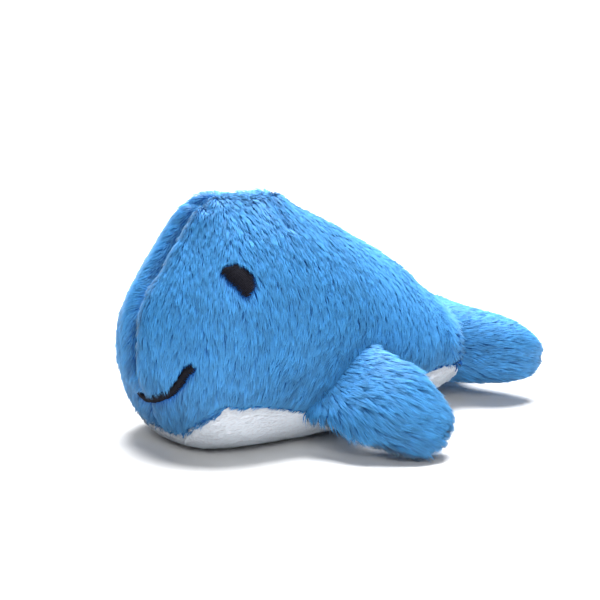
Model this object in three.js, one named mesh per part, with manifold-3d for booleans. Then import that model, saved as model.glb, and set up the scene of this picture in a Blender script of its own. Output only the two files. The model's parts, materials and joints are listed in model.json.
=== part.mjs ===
// Stuffed plush whale, a cat toy that rests on its belly.
// Units are millimetres. +Z is up, the nose points to -Y and the whale's left is +X.
// The origin is on the flat of the belly, where the toy rests.
// Sizes are of the sewn fabric. The pile of the plush is not drawn.

import * as THREE from "three";
import { mergeVertices } from "three/addons/utils/BufferGeometryUtils.js";
import Module from "manifold-3d";

const wasm = await Module();
wasm.setup();

// Fabric, thread and the gaps between pieces
const PLUSH_THICKNESS = 0.9;
const BELLY_THICKNESS = 0.9;
const FILLING_CLEARANCE = 0.5;
const SEAM_GAP = 0.3;
const SEAT_GAP = 0.25;
const WELD_DISTANCE = 1e-4;
const TINY = 1e-3;
const THREAD_RADIUS = 0.28;
const THREAD_DEPTH = 0.72;
const THREAD_CHANNEL = 0.72;
// The rest of the belly is cut flat by this much
const FLAT_DEPTH = 0.5;
const UNDER = -FLAT_DEPTH;

// Lines of the stuffed body. Each station joins a point on the back to a point on the underside.
// back and under are [y, z]. half is the half width at its widest, waist is that height above the underside.
// round and flat are the fullness of the flank above and below the waist, where 2 is an ellipse.
// seam is the height of the belly seam above the underside, and 0 where there is no belly panel.
const STATIONS = [
  { back: [-43.4, 28.2], under: [-43.4, 28.2], half: 0.0, waist: 0.0, round: 2.0, flat: 2.0, seam: 0.0 },
  { back: [-42.5, 38.2], under: [-42.6, 18.2], half: 9.6, waist: 9.5, round: 2.0, flat: 2.0, seam: 0.0 },
  { back: [-39.2, 44.7], under: [-39.8, 11.2], half: 17.5, waist: 14.5, round: 2.0, flat: 2.1, seam: 0.0 },
  { back: [-33.9, 51.8], under: [-36.3, 2.6], half: 22.6, waist: 19.5, round: 2.0, flat: 2.4, seam: 3.5 },
  { back: [-27.9, 59.6], under: [-29.8, -0.3], half: 26.0, waist: 23.0, round: 1.9, flat: 2.8, seam: 14.2 },
  { back: [-22.0, 67.0], under: [-22.0, UNDER], half: 28.0, waist: 25.5, round: 1.8, flat: 3.1, seam: 15.6 },
  { back: [-11.5, 65.8], under: [-11.0, UNDER], half: 29.2, waist: 25.5, round: 1.8, flat: 3.3, seam: 12.6 },
  { back: [-1.5, 66.4], under: [0.0, UNDER], half: 29.5, waist: 25.0, round: 1.8, flat: 3.3, seam: 10.2 },
  { back: [12.3, 59.0], under: [13.0, UNDER], half: 28.5, waist: 23.5, round: 1.9, flat: 3.2, seam: 11.6 },
  { back: [28.2, 50.4], under: [28.0, UNDER], half: 25.4, waist: 20.5, round: 2.0, flat: 3.0, seam: 14.0 },
  { back: [40.0, 41.4], under: [41.0, 0.8], half: 21.6, waist: 17.5, round: 2.1, flat: 2.6, seam: 12.9 },
  { back: [48.0, 34.4], under: [48.0, 2.2], half: 19.2, waist: 14.5, round: 2.2, flat: 2.5, seam: 11.1 },
  { back: [54.0, 29.2], under: [54.0, 4.0], half: 17.6, waist: 12.3, round: 2.3, flat: 2.5, seam: 8.6 },
];
const BELLY_TIP_STATION = 2.85;
const BELLY_FIRST_STATION = 3.1;
const NOSE_ROWS = [0, 0.3, 0.7, 1, 1.5, 2, 2.5, BELLY_TIP_STATION, BELLY_FIRST_STATION, 3.6];
const FIRST_EVEN_ROW = 4;
const EVEN_ROW_STEP = 0.5;
const FILLING_LAST_STATION = 11.4;
const NOSE_ROUNDING_WIDTH = 8.0;

// Pectoral fins: the sewn root on the flank, then the reach, sweep and droop of the flipper
const FIN_ROOT_FRONT = { y: -7.0, z: 10.6 };
const FIN_ROOT_BACK = { y: 13.5, z: 26.5 };
const FIN_SPAN = 31.0;
const FIN_SWEEP_DEGREES = 35.0;
const FIN_DROOP_DEGREES = 28.0;
const FIN_CREST = 2.0;
const FIN_SWELL_SHARE = 0.45;
const FIN_HALF_CHORD_MIDDLE = 13.5;
const FIN_HALF_CHORD_TIP = 11.0;
const FIN_ROOT_HALF_THICKNESS = 1.2;
const FIN_HALF_THICKNESS = 6.2;
const FIN_TIP_HALF_THICKNESS = 5.2;
const FIN_TIP_TWIST = 0.55;
const FIN_TIP_SQUARENESS = 4.0;
const FIN_ROOT_GAP = 1.3;
const FIN_SEAM_MARGIN = 0.04;

// Tail fluke: half plan, from the centre to one tip. split is how far behind the body's end it is thickest,
// front and rear are the reach of the leading and trailing edge from there.
const FLUKE_PLAN = [
  { x: 0.0, split: 2.0, front: 12.0, rear: 15.0, halfThickness: 10.6 },
  { x: 6.5, split: 3.5, front: 12.2, rear: 16.5, halfThickness: 10.5 },
  { x: 13.0, split: 10.5, front: 12.5, rear: 13.5, halfThickness: 9.8 },
  { x: 19.5, split: 14.5, front: 10.6, rear: 11.4, halfThickness: 8.6 },
  { x: 26.0, split: 19.5, front: 9.5, rear: 7.4, halfThickness: 6.8 },
];
const FLUKE_TIP_SQUARENESS = 4.2;
const FLUKE_DROOP_DEGREES = 9.0;
const TAIL_SEAM_DEPTH = 2.2;
const TAIL_SEAM_SHARE = 0.97;
const SOCKET_SHOULDER = 2.4;
const SOCKET_SHARE = 0.97;

// Embroidered eye and smile
const EYE_CENTRE = { y: -24.3, z: 49.8 };
const EYE_WIDTH = 9.2;
const EYE_HEIGHT = 6.4;
const EYE_TILT_DEGREES = -57.0;
const EYE_FULLNESS = 2.3;
const SMILE_HALF_WIDTH = 18.7;
const SMILE_ARC_WIDTH = 19.2;
const SMILE_LOW_HEIGHT = 15.3;
const SMILE_RISE = 15.5;
const SMILE_THREAD_WIDTH = 2.0;
const EMBROIDERY_THICKNESS = 0.8;

// Catnip sachet in the middle of the filling, and the slit in the filling that it goes in by
const SACHET_RADIUS = 12.0;
const SACHET_HALF_THICKNESS = 4.5;
const SACHET_RIM = 2.0;
const SACHET_PLY = 0.5;
const SACHET_CENTRE = { y: 2.0, z: 18.0 };
const SLIT_RADIUS = 6.0;

// Number of steps along and across each piece
const FLANK_COLUMNS = 11;
const BELLY_COLUMNS = 14;
const FILLING_COLUMNS = 16;
const FIN_ROWS = 11;
const FIN_COLUMNS = 8;
const FLUKE_ROWS = 20;
const FLUKE_COLUMNS = 8;
const EYE_STEPS = 8;
const EYE_COLUMNS = 4;
const SMILE_STEPS = 14;
const SMILE_COLUMNS = 2;
const FIN_THREAD_STEPS = 8;
const TAIL_THREAD_STEPS = 24;
const THREAD_SIDES = 6;
const LENS_STEPS = 5;
const LENS_SIDES = 18;
const SOCKET_STEPS = 16;

const RIGHT_SIDE = new THREE.Matrix4().makeScale(-1, 1, 1);

// Materials
function fabric(name, colour, roughness) {
  return new THREE.MeshStandardMaterial({ name, color: colour, roughness, metalness: 0 });
}
const BLUE_PLUSH = fabric("blue plush", 0x3f86c4, 0.95);
const WHITE_PLUSH = fabric("white plush", 0xe9ebef, 0.95);
const POLYESTER_FILLING = fabric("polyester filling", 0xf4f4f2, 1.0);
const BLACK_THREAD = fabric("black embroidery thread", 0x1d1b20, 0.55);
const BLUE_THREAD = fabric("blue sewing thread", 0x2f6cae, 0.7);
const SACHET_CLOTH = fabric("sachet cloth", 0xe6dfcf, 0.95);
const CATNIP = fabric("dried catnip", 0x6c7a44, 1.0);

// Solids from meshes
function solidOf(geometry) {
  const bare = geometry.clone();
  bare.deleteAttribute("normal");
  bare.deleteAttribute("uv");
  const merged = mergeVertices(bare, WELD_DISTANCE);
  const corners = Array.from(merged.index.array);
  const kept = [];
  for (let k = 0; k < corners.length; k += 3) {
    const [a, b, c] = corners.slice(k, k + 3);
    if (a !== b && b !== c && c !== a) kept.push(a, b, c);
  }
  const vertProperties = new Float32Array(merged.attributes.position.array);
  const meshed = () => new wasm.Mesh({ numProp: 3, vertProperties, triVerts: new Uint32Array(kept) });
  const solid = new wasm.Manifold(meshed());
  if (solid.volume() > 0) return solid;
  for (let k = 0; k < kept.length; k += 3) [kept[k], kept[k + 1]] = [kept[k + 1], kept[k]];
  return new wasm.Manifold(meshed());
}

function geometryOf(solid) {
  const mesh = solid.getMesh();
  const geometry = new THREE.BufferGeometry();
  geometry.setAttribute("position", new THREE.BufferAttribute(new Float32Array(mesh.vertProperties), 3));
  geometry.setIndex(new THREE.BufferAttribute(new Uint32Array(mesh.triVerts), 1));
  return geometry;
}

function geometryFromCorners(points, corners) {
  const geometry = new THREE.BufferGeometry();
  const positions = points.flatMap((point) => [point.x, point.y, point.z]);
  geometry.setAttribute("position", new THREE.Float32BufferAttribute(positions, 3));
  geometry.setIndex(corners);
  return geometry;
}

const steps = (count) => Array.from({ length: count + 1 }, (_, k) => k / count);

// A sheet with an outer and an inner face, walled all the way round its edge
function thickSheet(rowPlaces, columnPlaces, outerAt, innerAt) {
  const points = [];
  const corners = [];
  const rows = rowPlaces.length - 1;
  const columns = columnPlaces.length - 1;
  const index = (layer, i, j) => (layer * (rows + 1) + i) * (columns + 1) + j;
  for (const pointAt of [outerAt, innerAt]) {
    for (const row of rowPlaces) {
      for (const column of columnPlaces) points.push(pointAt(row, column));
    }
  }
  const quad = (a, b, c, d) => corners.push(a, b, c, a, c, d);
  for (let i = 0; i < rows; i++) {
    for (let j = 0; j < columns; j++) {
      quad(index(0, i, j), index(0, i + 1, j), index(0, i + 1, j + 1), index(0, i, j + 1));
      quad(index(1, i, j), index(1, i, j + 1), index(1, i + 1, j + 1), index(1, i + 1, j));
    }
  }
  for (let i = 0; i < rows; i++) {
    quad(index(0, i, 0), index(1, i, 0), index(1, i + 1, 0), index(0, i + 1, 0));
    quad(index(0, i, columns), index(0, i + 1, columns), index(1, i + 1, columns), index(1, i, columns));
  }
  for (let j = 0; j < columns; j++) {
    quad(index(0, 0, j), index(0, 0, j + 1), index(1, 0, j + 1), index(1, 0, j));
    quad(index(0, rows, j), index(1, rows, j), index(1, rows, j + 1), index(0, rows, j + 1));
  }
  return solidOf(geometryFromCorners(points, corners));
}

// A closed stuffed form: rings from one end to the other, with both ends closed by a centre point
function closedForm(rowPlaces, columns, pointAt) {
  const points = [];
  const corners = [];
  const rows = rowPlaces.length - 1;
  for (const row of rowPlaces) {
    for (let j = 0; j < columns; j++) points.push(pointAt(row, j / columns));
  }
  const index = (i, j) => i * columns + (j % columns);
  for (let i = 0; i < rows; i++) {
    for (let j = 0; j < columns; j++) {
      corners.push(index(i, j), index(i + 1, j), index(i + 1, j + 1));
      corners.push(index(i, j), index(i + 1, j + 1), index(i, j + 1));
    }
  }
  const centreOf = (i) => {
    const sum = new THREE.Vector3();
    for (let j = 0; j < columns; j++) sum.add(points[index(i, j)]);
    return sum.divideScalar(columns);
  };
  const first = points.push(centreOf(0)) - 1;
  const last = points.push(centreOf(rows)) - 1;
  for (let j = 0; j < columns; j++) {
    corners.push(first, index(0, j), index(0, j + 1));
    corners.push(last, index(rows, j + 1), index(rows, j));
  }
  return solidOf(geometryFromCorners(points, corners));
}

// Body surface
function smoothRow(rows) {
  const places = rows.map((row) => new THREE.Vector3(...row));
  return new THREE.CatmullRomCurve3(places, false, "catmullrom", 0.5);
}
const backRail = smoothRow(STATIONS.map((s) => [0, ...s.back]));
const underRail = smoothRow(STATIONS.map((s) => [0, ...s.under]));
const widthRail = smoothRow(STATIONS.map((s) => [s.half, s.waist, s.seam]));
const fullnessRail = smoothRow(STATIONS.map((s) => [s.round, s.flat, 0]));
const LAST_STATION = STATIONS.length - 1;
const EVEN_ROWS = steps((LAST_STATION - FIRST_EVEN_ROW) / EVEN_ROW_STEP).map((share) => (
  THREE.MathUtils.lerp(FIRST_EVEN_ROW, LAST_STATION, share)
));
const ROW_STATIONS = [...NOSE_ROWS, ...EVEN_ROWS];

function railPoint(rail, station, inset, side) {
  const t = THREE.MathUtils.clamp(station / LAST_STATION, 0, 1);
  const point = rail.getPoint(t);
  if (inset === 0) return point;
  const along = rail.getTangent(t);
  return point.add(new THREE.Vector3(0, side * along.z, -side * along.y).multiplyScalar(inset));
}

// A point of the body at a station and an angle round it: 0 on the back, pi/2 at the waist, pi underneath
function bodyPoint(station, angle, inset = 0) {
  const t = THREE.MathUtils.clamp(station / LAST_STATION, 0, 1);
  const back = railPoint(backRail, station, inset, 1);
  const under = railPoint(underRail, station, inset, -1);
  const { x: fullWidth, y: waist } = widthRail.getPoint(t);
  const { x: round, y: flat } = fullnessRail.getPoint(t);
  const width = fullWidth - inset * Math.min(1, fullWidth / NOSE_ROUNDING_WIDTH);
  const chord = new THREE.Vector3().subVectors(back, under);
  const height = chord.length();
  const fullHeight = Math.max(TINY, backRail.getPoint(t).distanceTo(underRail.getPoint(t)));
  const waistShare = fullHeight > TINY ? waist / fullHeight : 0.5;
  const power = angle < Math.PI / 2 ? 2 / round : 2 / flat;
  const reach = angle < Math.PI / 2 ? 1 - waistShare : waistShare;
  const across = width * Math.abs(Math.sin(angle)) ** power;
  const rise = waistShare + Math.sign(Math.cos(angle)) * reach * Math.abs(Math.cos(angle)) ** power;
  const point = under.clone().addScaledVector(chord, height > 0 ? rise : 0);
  point.x = across;
  point.z = Math.max(point.z, inset);
  return point;
}

function bodyNormal(station, angle) {
  const alongBody = bodyPoint(station + TINY, angle).sub(bodyPoint(station - TINY, angle));
  const roundBody = bodyPoint(station, angle + TINY).sub(bodyPoint(station, angle - TINY));
  const normal = new THREE.Vector3().crossVectors(roundBody, alongBody).normalize();
  return normal.x < 0 ? normal.negate() : normal;
}

// Steps of the search for a place on the flank
const SEARCH_STEP = 0.5;
const SEARCH_TURN = 0.15;
const SEARCH_ROUNDS = 12;

// Slides a point along a direction until it meets the left flank, and lifts it off along the flank's normal
function dropOnFlank(point, direction, lift = 0) {
  let best = { distance: Infinity, station: 1, angle: 1 };
  for (let station = SEARCH_STEP; station < LAST_STATION; station += SEARCH_STEP) {
    for (let angle = SEARCH_TURN; angle < Math.PI; angle += SEARCH_TURN) {
      const offset = bodyPoint(station, angle).sub(point);
      const distance = offset.addScaledVector(direction, -offset.dot(direction)).length();
      const facing = bodyNormal(station, angle).dot(direction);
      if (facing > 0 && distance < best.distance) best = { distance, station, angle };
    }
  }
  let { station, angle } = best;
  for (let round = 0; round < SEARCH_ROUNDS; round++) {
    const here = bodyPoint(station, angle);
    const alongBody = bodyPoint(station + TINY, angle).sub(here).divideScalar(TINY);
    const roundBody = bodyPoint(station, angle + TINY).sub(here).divideScalar(TINY);
    const matrix = new THREE.Matrix3().set(
      alongBody.x, roundBody.x, direction.x,
      alongBody.y, roundBody.y, direction.y,
      alongBody.z, roundBody.z, direction.z,
    );
    const move = point.clone().sub(here).applyMatrix3(matrix.invert());
    station = THREE.MathUtils.clamp(station + move.x, TINY, LAST_STATION);
    angle = THREE.MathUtils.clamp(angle + move.y, TINY, Math.PI - TINY);
  }
  const normal = bodyNormal(station, angle);
  return { point: bodyPoint(station, angle).addScaledVector(normal, lift), normal, station, angle };
}

// The belly seam's angle round the body at a station. It starts from the centre line at the belly's tip.
function seamAngle(station) {
  if (station <= BELLY_TIP_STATION) return Math.PI;
  const t = station / LAST_STATION;
  const { y: waist, z: seamRise } = widthRail.getPoint(t);
  const flat = fullnessRail.getPoint(t).y;
  const share = THREE.MathUtils.clamp(1 - Math.max(seamRise, 0) / waist, 0, 1);
  return Math.PI - Math.acos(share ** (flat / 2));
}

function besideSeam(station, distance) {
  const angle = seamAngle(station);
  const length = bodyPoint(station, angle - TINY).distanceTo(bodyPoint(station, angle + TINY)) / (2 * TINY);
  return angle + distance / Math.max(length, 1);
}

const offCentre = (point, channel = 0) => point.setX(Math.max(point.x, SEAM_GAP / 2 + channel));

// The inner edge of each panel stands back from its seam, which leaves a channel for the thread
function leftFlankPanel() {
  const at = (inset, channel) => (station, round) => {
    const edge = station > BELLY_TIP_STATION ? besideSeam(station, -channel) : Math.PI;
    return offCentre(bodyPoint(station, round * edge, inset), channel);
  };
  return thickSheet(ROW_STATIONS, steps(FLANK_COLUMNS), at(0, 0), at(PLUSH_THICKNESS, THREAD_CHANNEL));
}

function bellyPanel() {
  const at = (inset, channel) => (station, across) => {
    const edge = besideSeam(station, SEAM_GAP + channel);
    const side = across < 0.5 ? 1 : -1;
    const angle = THREE.MathUtils.lerp(edge, Math.PI, 1 - Math.abs(2 * across - 1));
    const point = bodyPoint(station, angle, inset);
    return point.setX(side * point.x);
  };
  const stations = ROW_STATIONS.filter((station) => station >= BELLY_FIRST_STATION);
  return thickSheet(stations, steps(BELLY_COLUMNS), at(0, 0), at(BELLY_THICKNESS, THREAD_CHANNEL));
}

// Middle of the body's open end, which the tail turns about
const END_Y = STATIONS[LAST_STATION].back[0];
const END_HEIGHT = STATIONS[LAST_STATION].back[1] - STATIONS[LAST_STATION].under[1];
const TAIL_AXIS = new THREE.Vector3(0, END_Y, STATIONS[LAST_STATION].under[1] + END_HEIGHT / 2);

function bodyFilling() {
  const inset = PLUSH_THICKNESS + FILLING_CLEARANCE;
  const at = (station, round) => {
    const turn = round * 2 * Math.PI;
    const point = bodyPoint(station, turn <= Math.PI ? turn : 2 * Math.PI - turn, inset);
    return turn <= Math.PI ? point : point.setX(-point.x);
  };
  const stations = ROW_STATIONS.slice(1, -2);
  return closedForm([...stations, FILLING_LAST_STATION], FILLING_COLUMNS, at);
}

// Pectoral fin
const OUTWARD = new THREE.Vector3(1, 0, 0);
const finReach = new THREE.Vector3(1, 0, 0)
  .applyAxisAngle(new THREE.Vector3(0, 0, 1), THREE.MathUtils.degToRad(FIN_SWEEP_DEGREES))
  .multiplyScalar(Math.cos(THREE.MathUtils.degToRad(FIN_DROOP_DEGREES)))
  .add(new THREE.Vector3(0, 0, -Math.sin(THREE.MathUtils.degToRad(FIN_DROOP_DEGREES))));
const onFlank = ({ y, z }) => dropOnFlank(new THREE.Vector3(0, y, z), OUTWARD);
const finFront = onFlank(FIN_ROOT_FRONT).point;
const finBack = onFlank(FIN_ROOT_BACK).point;
const finRootLine = new THREE.Vector3().subVectors(finBack, finFront);
const finRootHalf = finRootLine.length() / 2;
const finChord = finRootLine.normalize();
const finBetween = new THREE.Vector3().lerpVectors(finFront, finBack, 0.5);
const finMiddle = dropOnFlank(finBetween, OUTWARD, FIN_ROOT_GAP / 2);
const finLevel = new THREE.Vector3(0, 1, 0).addScaledVector(finReach, -finReach.y).normalize();
const finSizes = smoothRow([
  [finRootHalf, 0, 0],
  [FIN_HALF_CHORD_MIDDLE, 0, 0],
  [FIN_HALF_CHORD_TIP, 0, 0],
]);

function finSection(along, turn, inset) {
  const tip = Math.max(0, 1 - along ** FIN_TIP_SQUARENESS) ** (1 / FIN_TIP_SQUARENESS);
  const swell = Math.sin((Math.PI / 2) * Math.min(1, along / FIN_SWELL_SHARE));
  const tipShare = Math.max(0, (along - FIN_SWELL_SHARE) / (1 - FIN_SWELL_SHARE));
  const fullest = THREE.MathUtils.lerp(FIN_HALF_THICKNESS, FIN_TIP_HALF_THICKNESS, tipShare);
  const halfThickness = THREE.MathUtils.lerp(FIN_ROOT_HALF_THICKNESS, fullest, swell) - inset;
  const halfChord = finSizes.getPoint(along).x - inset;
  const chord = finChord.clone().lerp(finLevel, FIN_TIP_TWIST * along).normalize();
  const up = new THREE.Vector3().crossVectors(finReach, chord).normalize();
  const reach = (FIN_SPAN - inset) * along;
  return finMiddle.point.clone()
    .addScaledVector(finReach, reach)
    .addScaledVector(new THREE.Vector3(0, 0, 1), 4 * FIN_CREST * along * (1 - along))
    .addScaledVector(chord, halfChord * tip * Math.cos(turn))
    .addScaledVector(up, halfThickness * tip * Math.sin(turn));
}

// The root ring lies on the flank, and the fin leaves it smoothly.
// layer is 1 for the upper ply and -1 for the lower.
function finSurface(inset, layer) {
  const corrections = new Map();
  return (along, across) => {
    const turn = layer * Math.PI * across;
    if (!corrections.has(across)) {
      const free = finSection(0, turn, inset);
      corrections.set(across, dropOnFlank(free, finReach, FIN_ROOT_GAP).point.sub(free));
    }
    const point = finSection(along, turn, inset).addScaledVector(corrections.get(across), (1 - along) ** 3);
    const up = new THREE.Vector3().crossVectors(finReach, finChord).normalize();
    point.addScaledVector(up, (layer * SEAM_GAP) / 2);
    return point.setZ(Math.max(point.z, inset));
  };
}

function finPanel(layer) {
  const outer = finSurface(0, layer);
  const inner = finSurface(PLUSH_THICKNESS, layer);
  return thickSheet(steps(FIN_ROWS), steps(FIN_COLUMNS), outer, inner);
}

function finFilling() {
  const inset = PLUSH_THICKNESS + FILLING_CLEARANCE;
  const upper = finSurface(inset, 1);
  const lower = finSurface(inset, -1);
  const at = (along, round) => (round <= 0.5 ? upper(along, 2 * round) : lower(along, 2 - 2 * round));
  return closedForm(steps(FIN_ROWS).slice(2, -1), 2 * FIN_COLUMNS, at);
}

// Tail fluke, thick at its root, which turns in the body's open end
const flukeEdges = smoothRow(FLUKE_PLAN.map((row) => [row.x, row.front, row.rear]));
const flukeMiddle = smoothRow(FLUKE_PLAN.map((row) => [row.x, row.split, row.halfThickness]));
const flukeDroop = THREE.MathUtils.degToRad(-FLUKE_DROOP_DEGREES);
const flukeSpan = FLUKE_PLAN[FLUKE_PLAN.length - 1].x;

function flukePoint(along, turn, inset) {
  const side = along < 0.5 ? -1 : 1;
  const share = Math.abs(2 * along - 1);
  const { y: front, z: rear } = flukeEdges.getPoint(share);
  const { x, y: split, z: halfThickness } = flukeMiddle.getPoint(share);
  const tip = Math.max(0, 1 - share ** FLUKE_TIP_SQUARENESS) ** (1 / FLUKE_TIP_SQUARENESS);
  const reach = (Math.cos(turn) > 0 ? rear : front) - inset;
  const point = new THREE.Vector3(
    side * x * (1 - inset / flukeSpan),
    split + reach * tip * Math.cos(turn),
    (halfThickness - inset) * tip * Math.sin(turn),
  );
  point.applyAxisAngle(OUTWARD, flukeDroop);
  return point.add(TAIL_AXIS);
}

function flukeSurface(inset, layer) {
  return (along, across) => {
    const point = flukePoint(along, layer * Math.PI * across, inset);
    point.z += (layer * SEAM_GAP) / 2;
    return point.setZ(Math.max(point.z, inset));
  };
}

function flukePanel(layer) {
  const outer = flukeSurface(0, layer);
  const inner = flukeSurface(PLUSH_THICKNESS, layer);
  return thickSheet(steps(FLUKE_ROWS), steps(FLUKE_COLUMNS), outer, inner);
}

function flukeFilling() {
  const inset = PLUSH_THICKNESS + FILLING_CLEARANCE;
  const upper = flukeSurface(inset, 1);
  const lower = flukeSurface(inset, -1);
  const at = (along, round) => (round <= 0.5 ? upper(along, 2 * round) : lower(along, 2 - 2 * round));
  return closedForm(steps(FLUKE_ROWS).slice(1, -1), 2 * FLUKE_COLUMNS, at);
}

// Embroidery, a low pad of thread on the flank
function onSurface(pointAt) {
  const layer = (lift) => (along, across) => {
    const { point, direction } = pointAt(along, across);
    return offCentre(dropOnFlank(point, direction, lift).point);
  };
  return [layer(SEAT_GAP + EMBROIDERY_THICKNESS), layer(SEAT_GAP)];
}

function eyeEmbroidery() {
  const seat = onFlank(EYE_CENTRE);
  const tailward = new THREE.Vector3(0, 1, 0).addScaledVector(seat.normal, -seat.normal.y).normalize();
  const upward = new THREE.Vector3().crossVectors(seat.normal, tailward).normalize();
  if (upward.z < 0) upward.negate();
  const tilt = THREE.MathUtils.degToRad(EYE_TILT_DEGREES);
  const pointAt = (along, across) => {
    const chord = (-EYE_WIDTH / 2) * Math.cos(Math.PI * along);
    const dome = EYE_HEIGHT * Math.abs(Math.sin(Math.PI * along)) ** (2 / EYE_FULLNESS);
    const rise = dome * across - EYE_HEIGHT / 2;
    const point = seat.point.clone()
      .addScaledVector(tailward, chord * Math.cos(tilt) - rise * Math.sin(tilt))
      .addScaledVector(upward, chord * Math.sin(tilt) + rise * Math.cos(tilt));
    return { point, direction: seat.normal };
  };
  return thickSheet(steps(EYE_STEPS), steps(EYE_COLUMNS), ...onSurface(pointAt));
}

function smileEmbroidery() {
  const forward = new THREE.Vector3(0, -1, 0);
  const pointAt = (along, across) => {
    const x = THREE.MathUtils.lerp(SEAM_GAP, SMILE_HALF_WIDTH, along);
    const share = x / SMILE_ARC_WIDTH;
    const arc = Math.sqrt(1 - share ** 2);
    const slope = (SMILE_RISE * share) / (SMILE_ARC_WIDTH * arc);
    const offset = (SMILE_THREAD_WIDTH * (across - 0.5)) / Math.hypot(1, slope);
    const point = new THREE.Vector3(
      Math.max(x - slope * offset, SEAM_GAP / 2),
      0,
      SMILE_LOW_HEIGHT + SMILE_RISE * (1 - arc) + offset,
    );
    return { point, direction: forward };
  };
  return thickSheet(steps(SMILE_STEPS), steps(SMILE_COLUMNS), ...onSurface(pointAt));
}

// Sewing threads
function threadAlong(points) {
  const path = new THREE.CatmullRomCurve3(points);
  const section = new THREE.Shape();
  for (let k = 0; k < THREAD_SIDES; k++) {
    const turn = (2 * Math.PI * k) / THREAD_SIDES;
    const corner = [THREAD_RADIUS * Math.cos(turn), THREAD_RADIUS * Math.sin(turn)];
    if (k === 0) section.moveTo(...corner);
    else section.lineTo(...corner);
  }
  const options = { steps: 2 * (points.length - 1), extrudePath: path, bevelEnabled: false };
  return solidOf(new THREE.ExtrudeGeometry(section, options));
}

function centreSeamThread() {
  const inside = ROW_STATIONS.slice(1, -1);
  const over = inside.toReversed().map((station) => bodyPoint(station, 0, THREAD_DEPTH));
  const ahead = inside.filter((station) => station < BELLY_TIP_STATION);
  const below = ahead.map((station) => bodyPoint(station, Math.PI, THREAD_DEPTH));
  return threadAlong([...over, ...below].map((point) => point.setX(0)));
}

function bellySeamThread() {
  const stations = ROW_STATIONS.filter((station) => station > BELLY_FIRST_STATION && station < LAST_STATION);
  const inSeam = (station) => bodyPoint(station, besideSeam(station, SEAM_GAP / 2), THREAD_DEPTH);
  return threadAlong(stations.map(inSeam));
}

function finSeamThread() {
  const points = steps(FIN_THREAD_STEPS).map((share) => {
    const along = THREE.MathUtils.lerp(FIN_SEAM_MARGIN, 1 - FIN_SEAM_MARGIN, share);
    const point = new THREE.Vector3().lerpVectors(finFront, finBack, along);
    return dropOnFlank(point, finReach, FIN_ROOT_GAP / 2).point;
  });
  return threadAlong(points);
}

function tailSeamThread() {
  const station = LAST_STATION - TAIL_SEAM_DEPTH / (END_Y - STATIONS[LAST_STATION - 1].back[0]);
  const inset = PLUSH_THICKNESS + SEAT_GAP + THREAD_RADIUS;
  const points = steps(TAIL_THREAD_STEPS).map((share) => {
    const turn = THREE.MathUtils.lerp(-TAIL_SEAM_SHARE, TAIL_SEAM_SHARE, share) * Math.PI;
    const point = bodyPoint(station, Math.abs(turn), inset);
    return point.setX(Math.sign(turn) * point.x);
  });
  return threadAlong(points);
}

// Catnip sachet: two cloth plies round a lens of dried catnip. Half of a lens, from its pole to its rim:
function lens(radius, halfThickness, layer) {
  return steps(LENS_STEPS).map((share) => {
    const turn = (share * Math.PI) / 2;
    return new THREE.Vector2(radius * Math.sin(turn), layer * halfThickness * Math.cos(turn));
  });
}

function turned(profile) {
  const geometry = new THREE.LatheGeometry(profile, LENS_SIDES);
  geometry.rotateX(Math.PI / 2);
  geometry.translate(0, SACHET_CENTRE.y, SACHET_CENTRE.z);
  return solidOf(geometry);
}

function sachetPly(layer) {
  const pouchRadius = SACHET_RADIUS - SACHET_RIM;
  const inner = lens(pouchRadius, SACHET_HALF_THICKNESS - SACHET_PLY, layer);
  const outer = lens(pouchRadius + SACHET_PLY, SACHET_HALF_THICKNESS, layer);
  const lift = (layer * SEAM_GAP) / 2;
  const rim = [
    new THREE.Vector2(SACHET_RADIUS, 0),
    new THREE.Vector2(SACHET_RADIUS, layer * SACHET_PLY),
    new THREE.Vector2(pouchRadius + SACHET_PLY, layer * SACHET_PLY),
  ];
  const profile = [...inner, ...rim, ...outer.slice(0, -1).reverse()];
  return turned(profile.map((point) => point.setY(point.y + lift)));
}

function driedCatnip() {
  const radius = SACHET_RADIUS - SACHET_RIM - SEAT_GAP;
  const halfThickness = SACHET_HALF_THICKNESS - SACHET_PLY - SEAT_GAP;
  const below = lens(radius, halfThickness, -1);
  const above = lens(radius, halfThickness, 1).reverse();
  return turned([...below, ...above.slice(1)]);
}

function sachetPocket() {
  const radius = SACHET_RADIUS + 2 * FILLING_CLEARANCE;
  const halfThickness = SACHET_HALF_THICKNESS + SEAM_GAP + FILLING_CLEARANCE;
  const above = lens(radius, halfThickness, 1).reverse();
  const slit = [
    new THREE.Vector2(0, -2 * SACHET_CENTRE.z),
    new THREE.Vector2(SLIT_RADIUS, -2 * SACHET_CENTRE.z),
    new THREE.Vector2(SLIT_RADIUS, -halfThickness),
    new THREE.Vector2(radius, -SEAM_GAP - SACHET_PLY - FILLING_CLEARANCE),
  ];
  return turned([...slit, ...above]);
}

// The socket is round about the tail's axis, so that the fluke can turn in it
function tailSocket() {
  const inset = PLUSH_THICKNESS + FILLING_CLEARANCE;
  const halfWidth = STATIONS[LAST_STATION].half - inset - FILLING_CLEARANCE;
  const radius = END_HEIGHT / 2 - inset;
  const at = (along, round) => {
    const x = THREE.MathUtils.lerp(-SOCKET_SHARE, SOCKET_SHARE, along);
    const size = radius * (1 - Math.abs(x) ** SOCKET_SHOULDER) ** (1 / SOCKET_SHOULDER);
    const turn = round * 2 * Math.PI;
    return new THREE.Vector3(halfWidth * x, size * Math.cos(turn), size * Math.sin(turn)).add(TAIL_AXIS);
  };
  return closedForm(steps(SOCKET_STEPS), SOCKET_STEPS, at);
}

// The whole toy
const mirrored = (solid) => {
  const geometry = geometryOf(solid);
  geometry.applyMatrix4(RIGHT_SIDE);
  return solidOf(geometry);
};

const whale = new THREE.Group();

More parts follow.
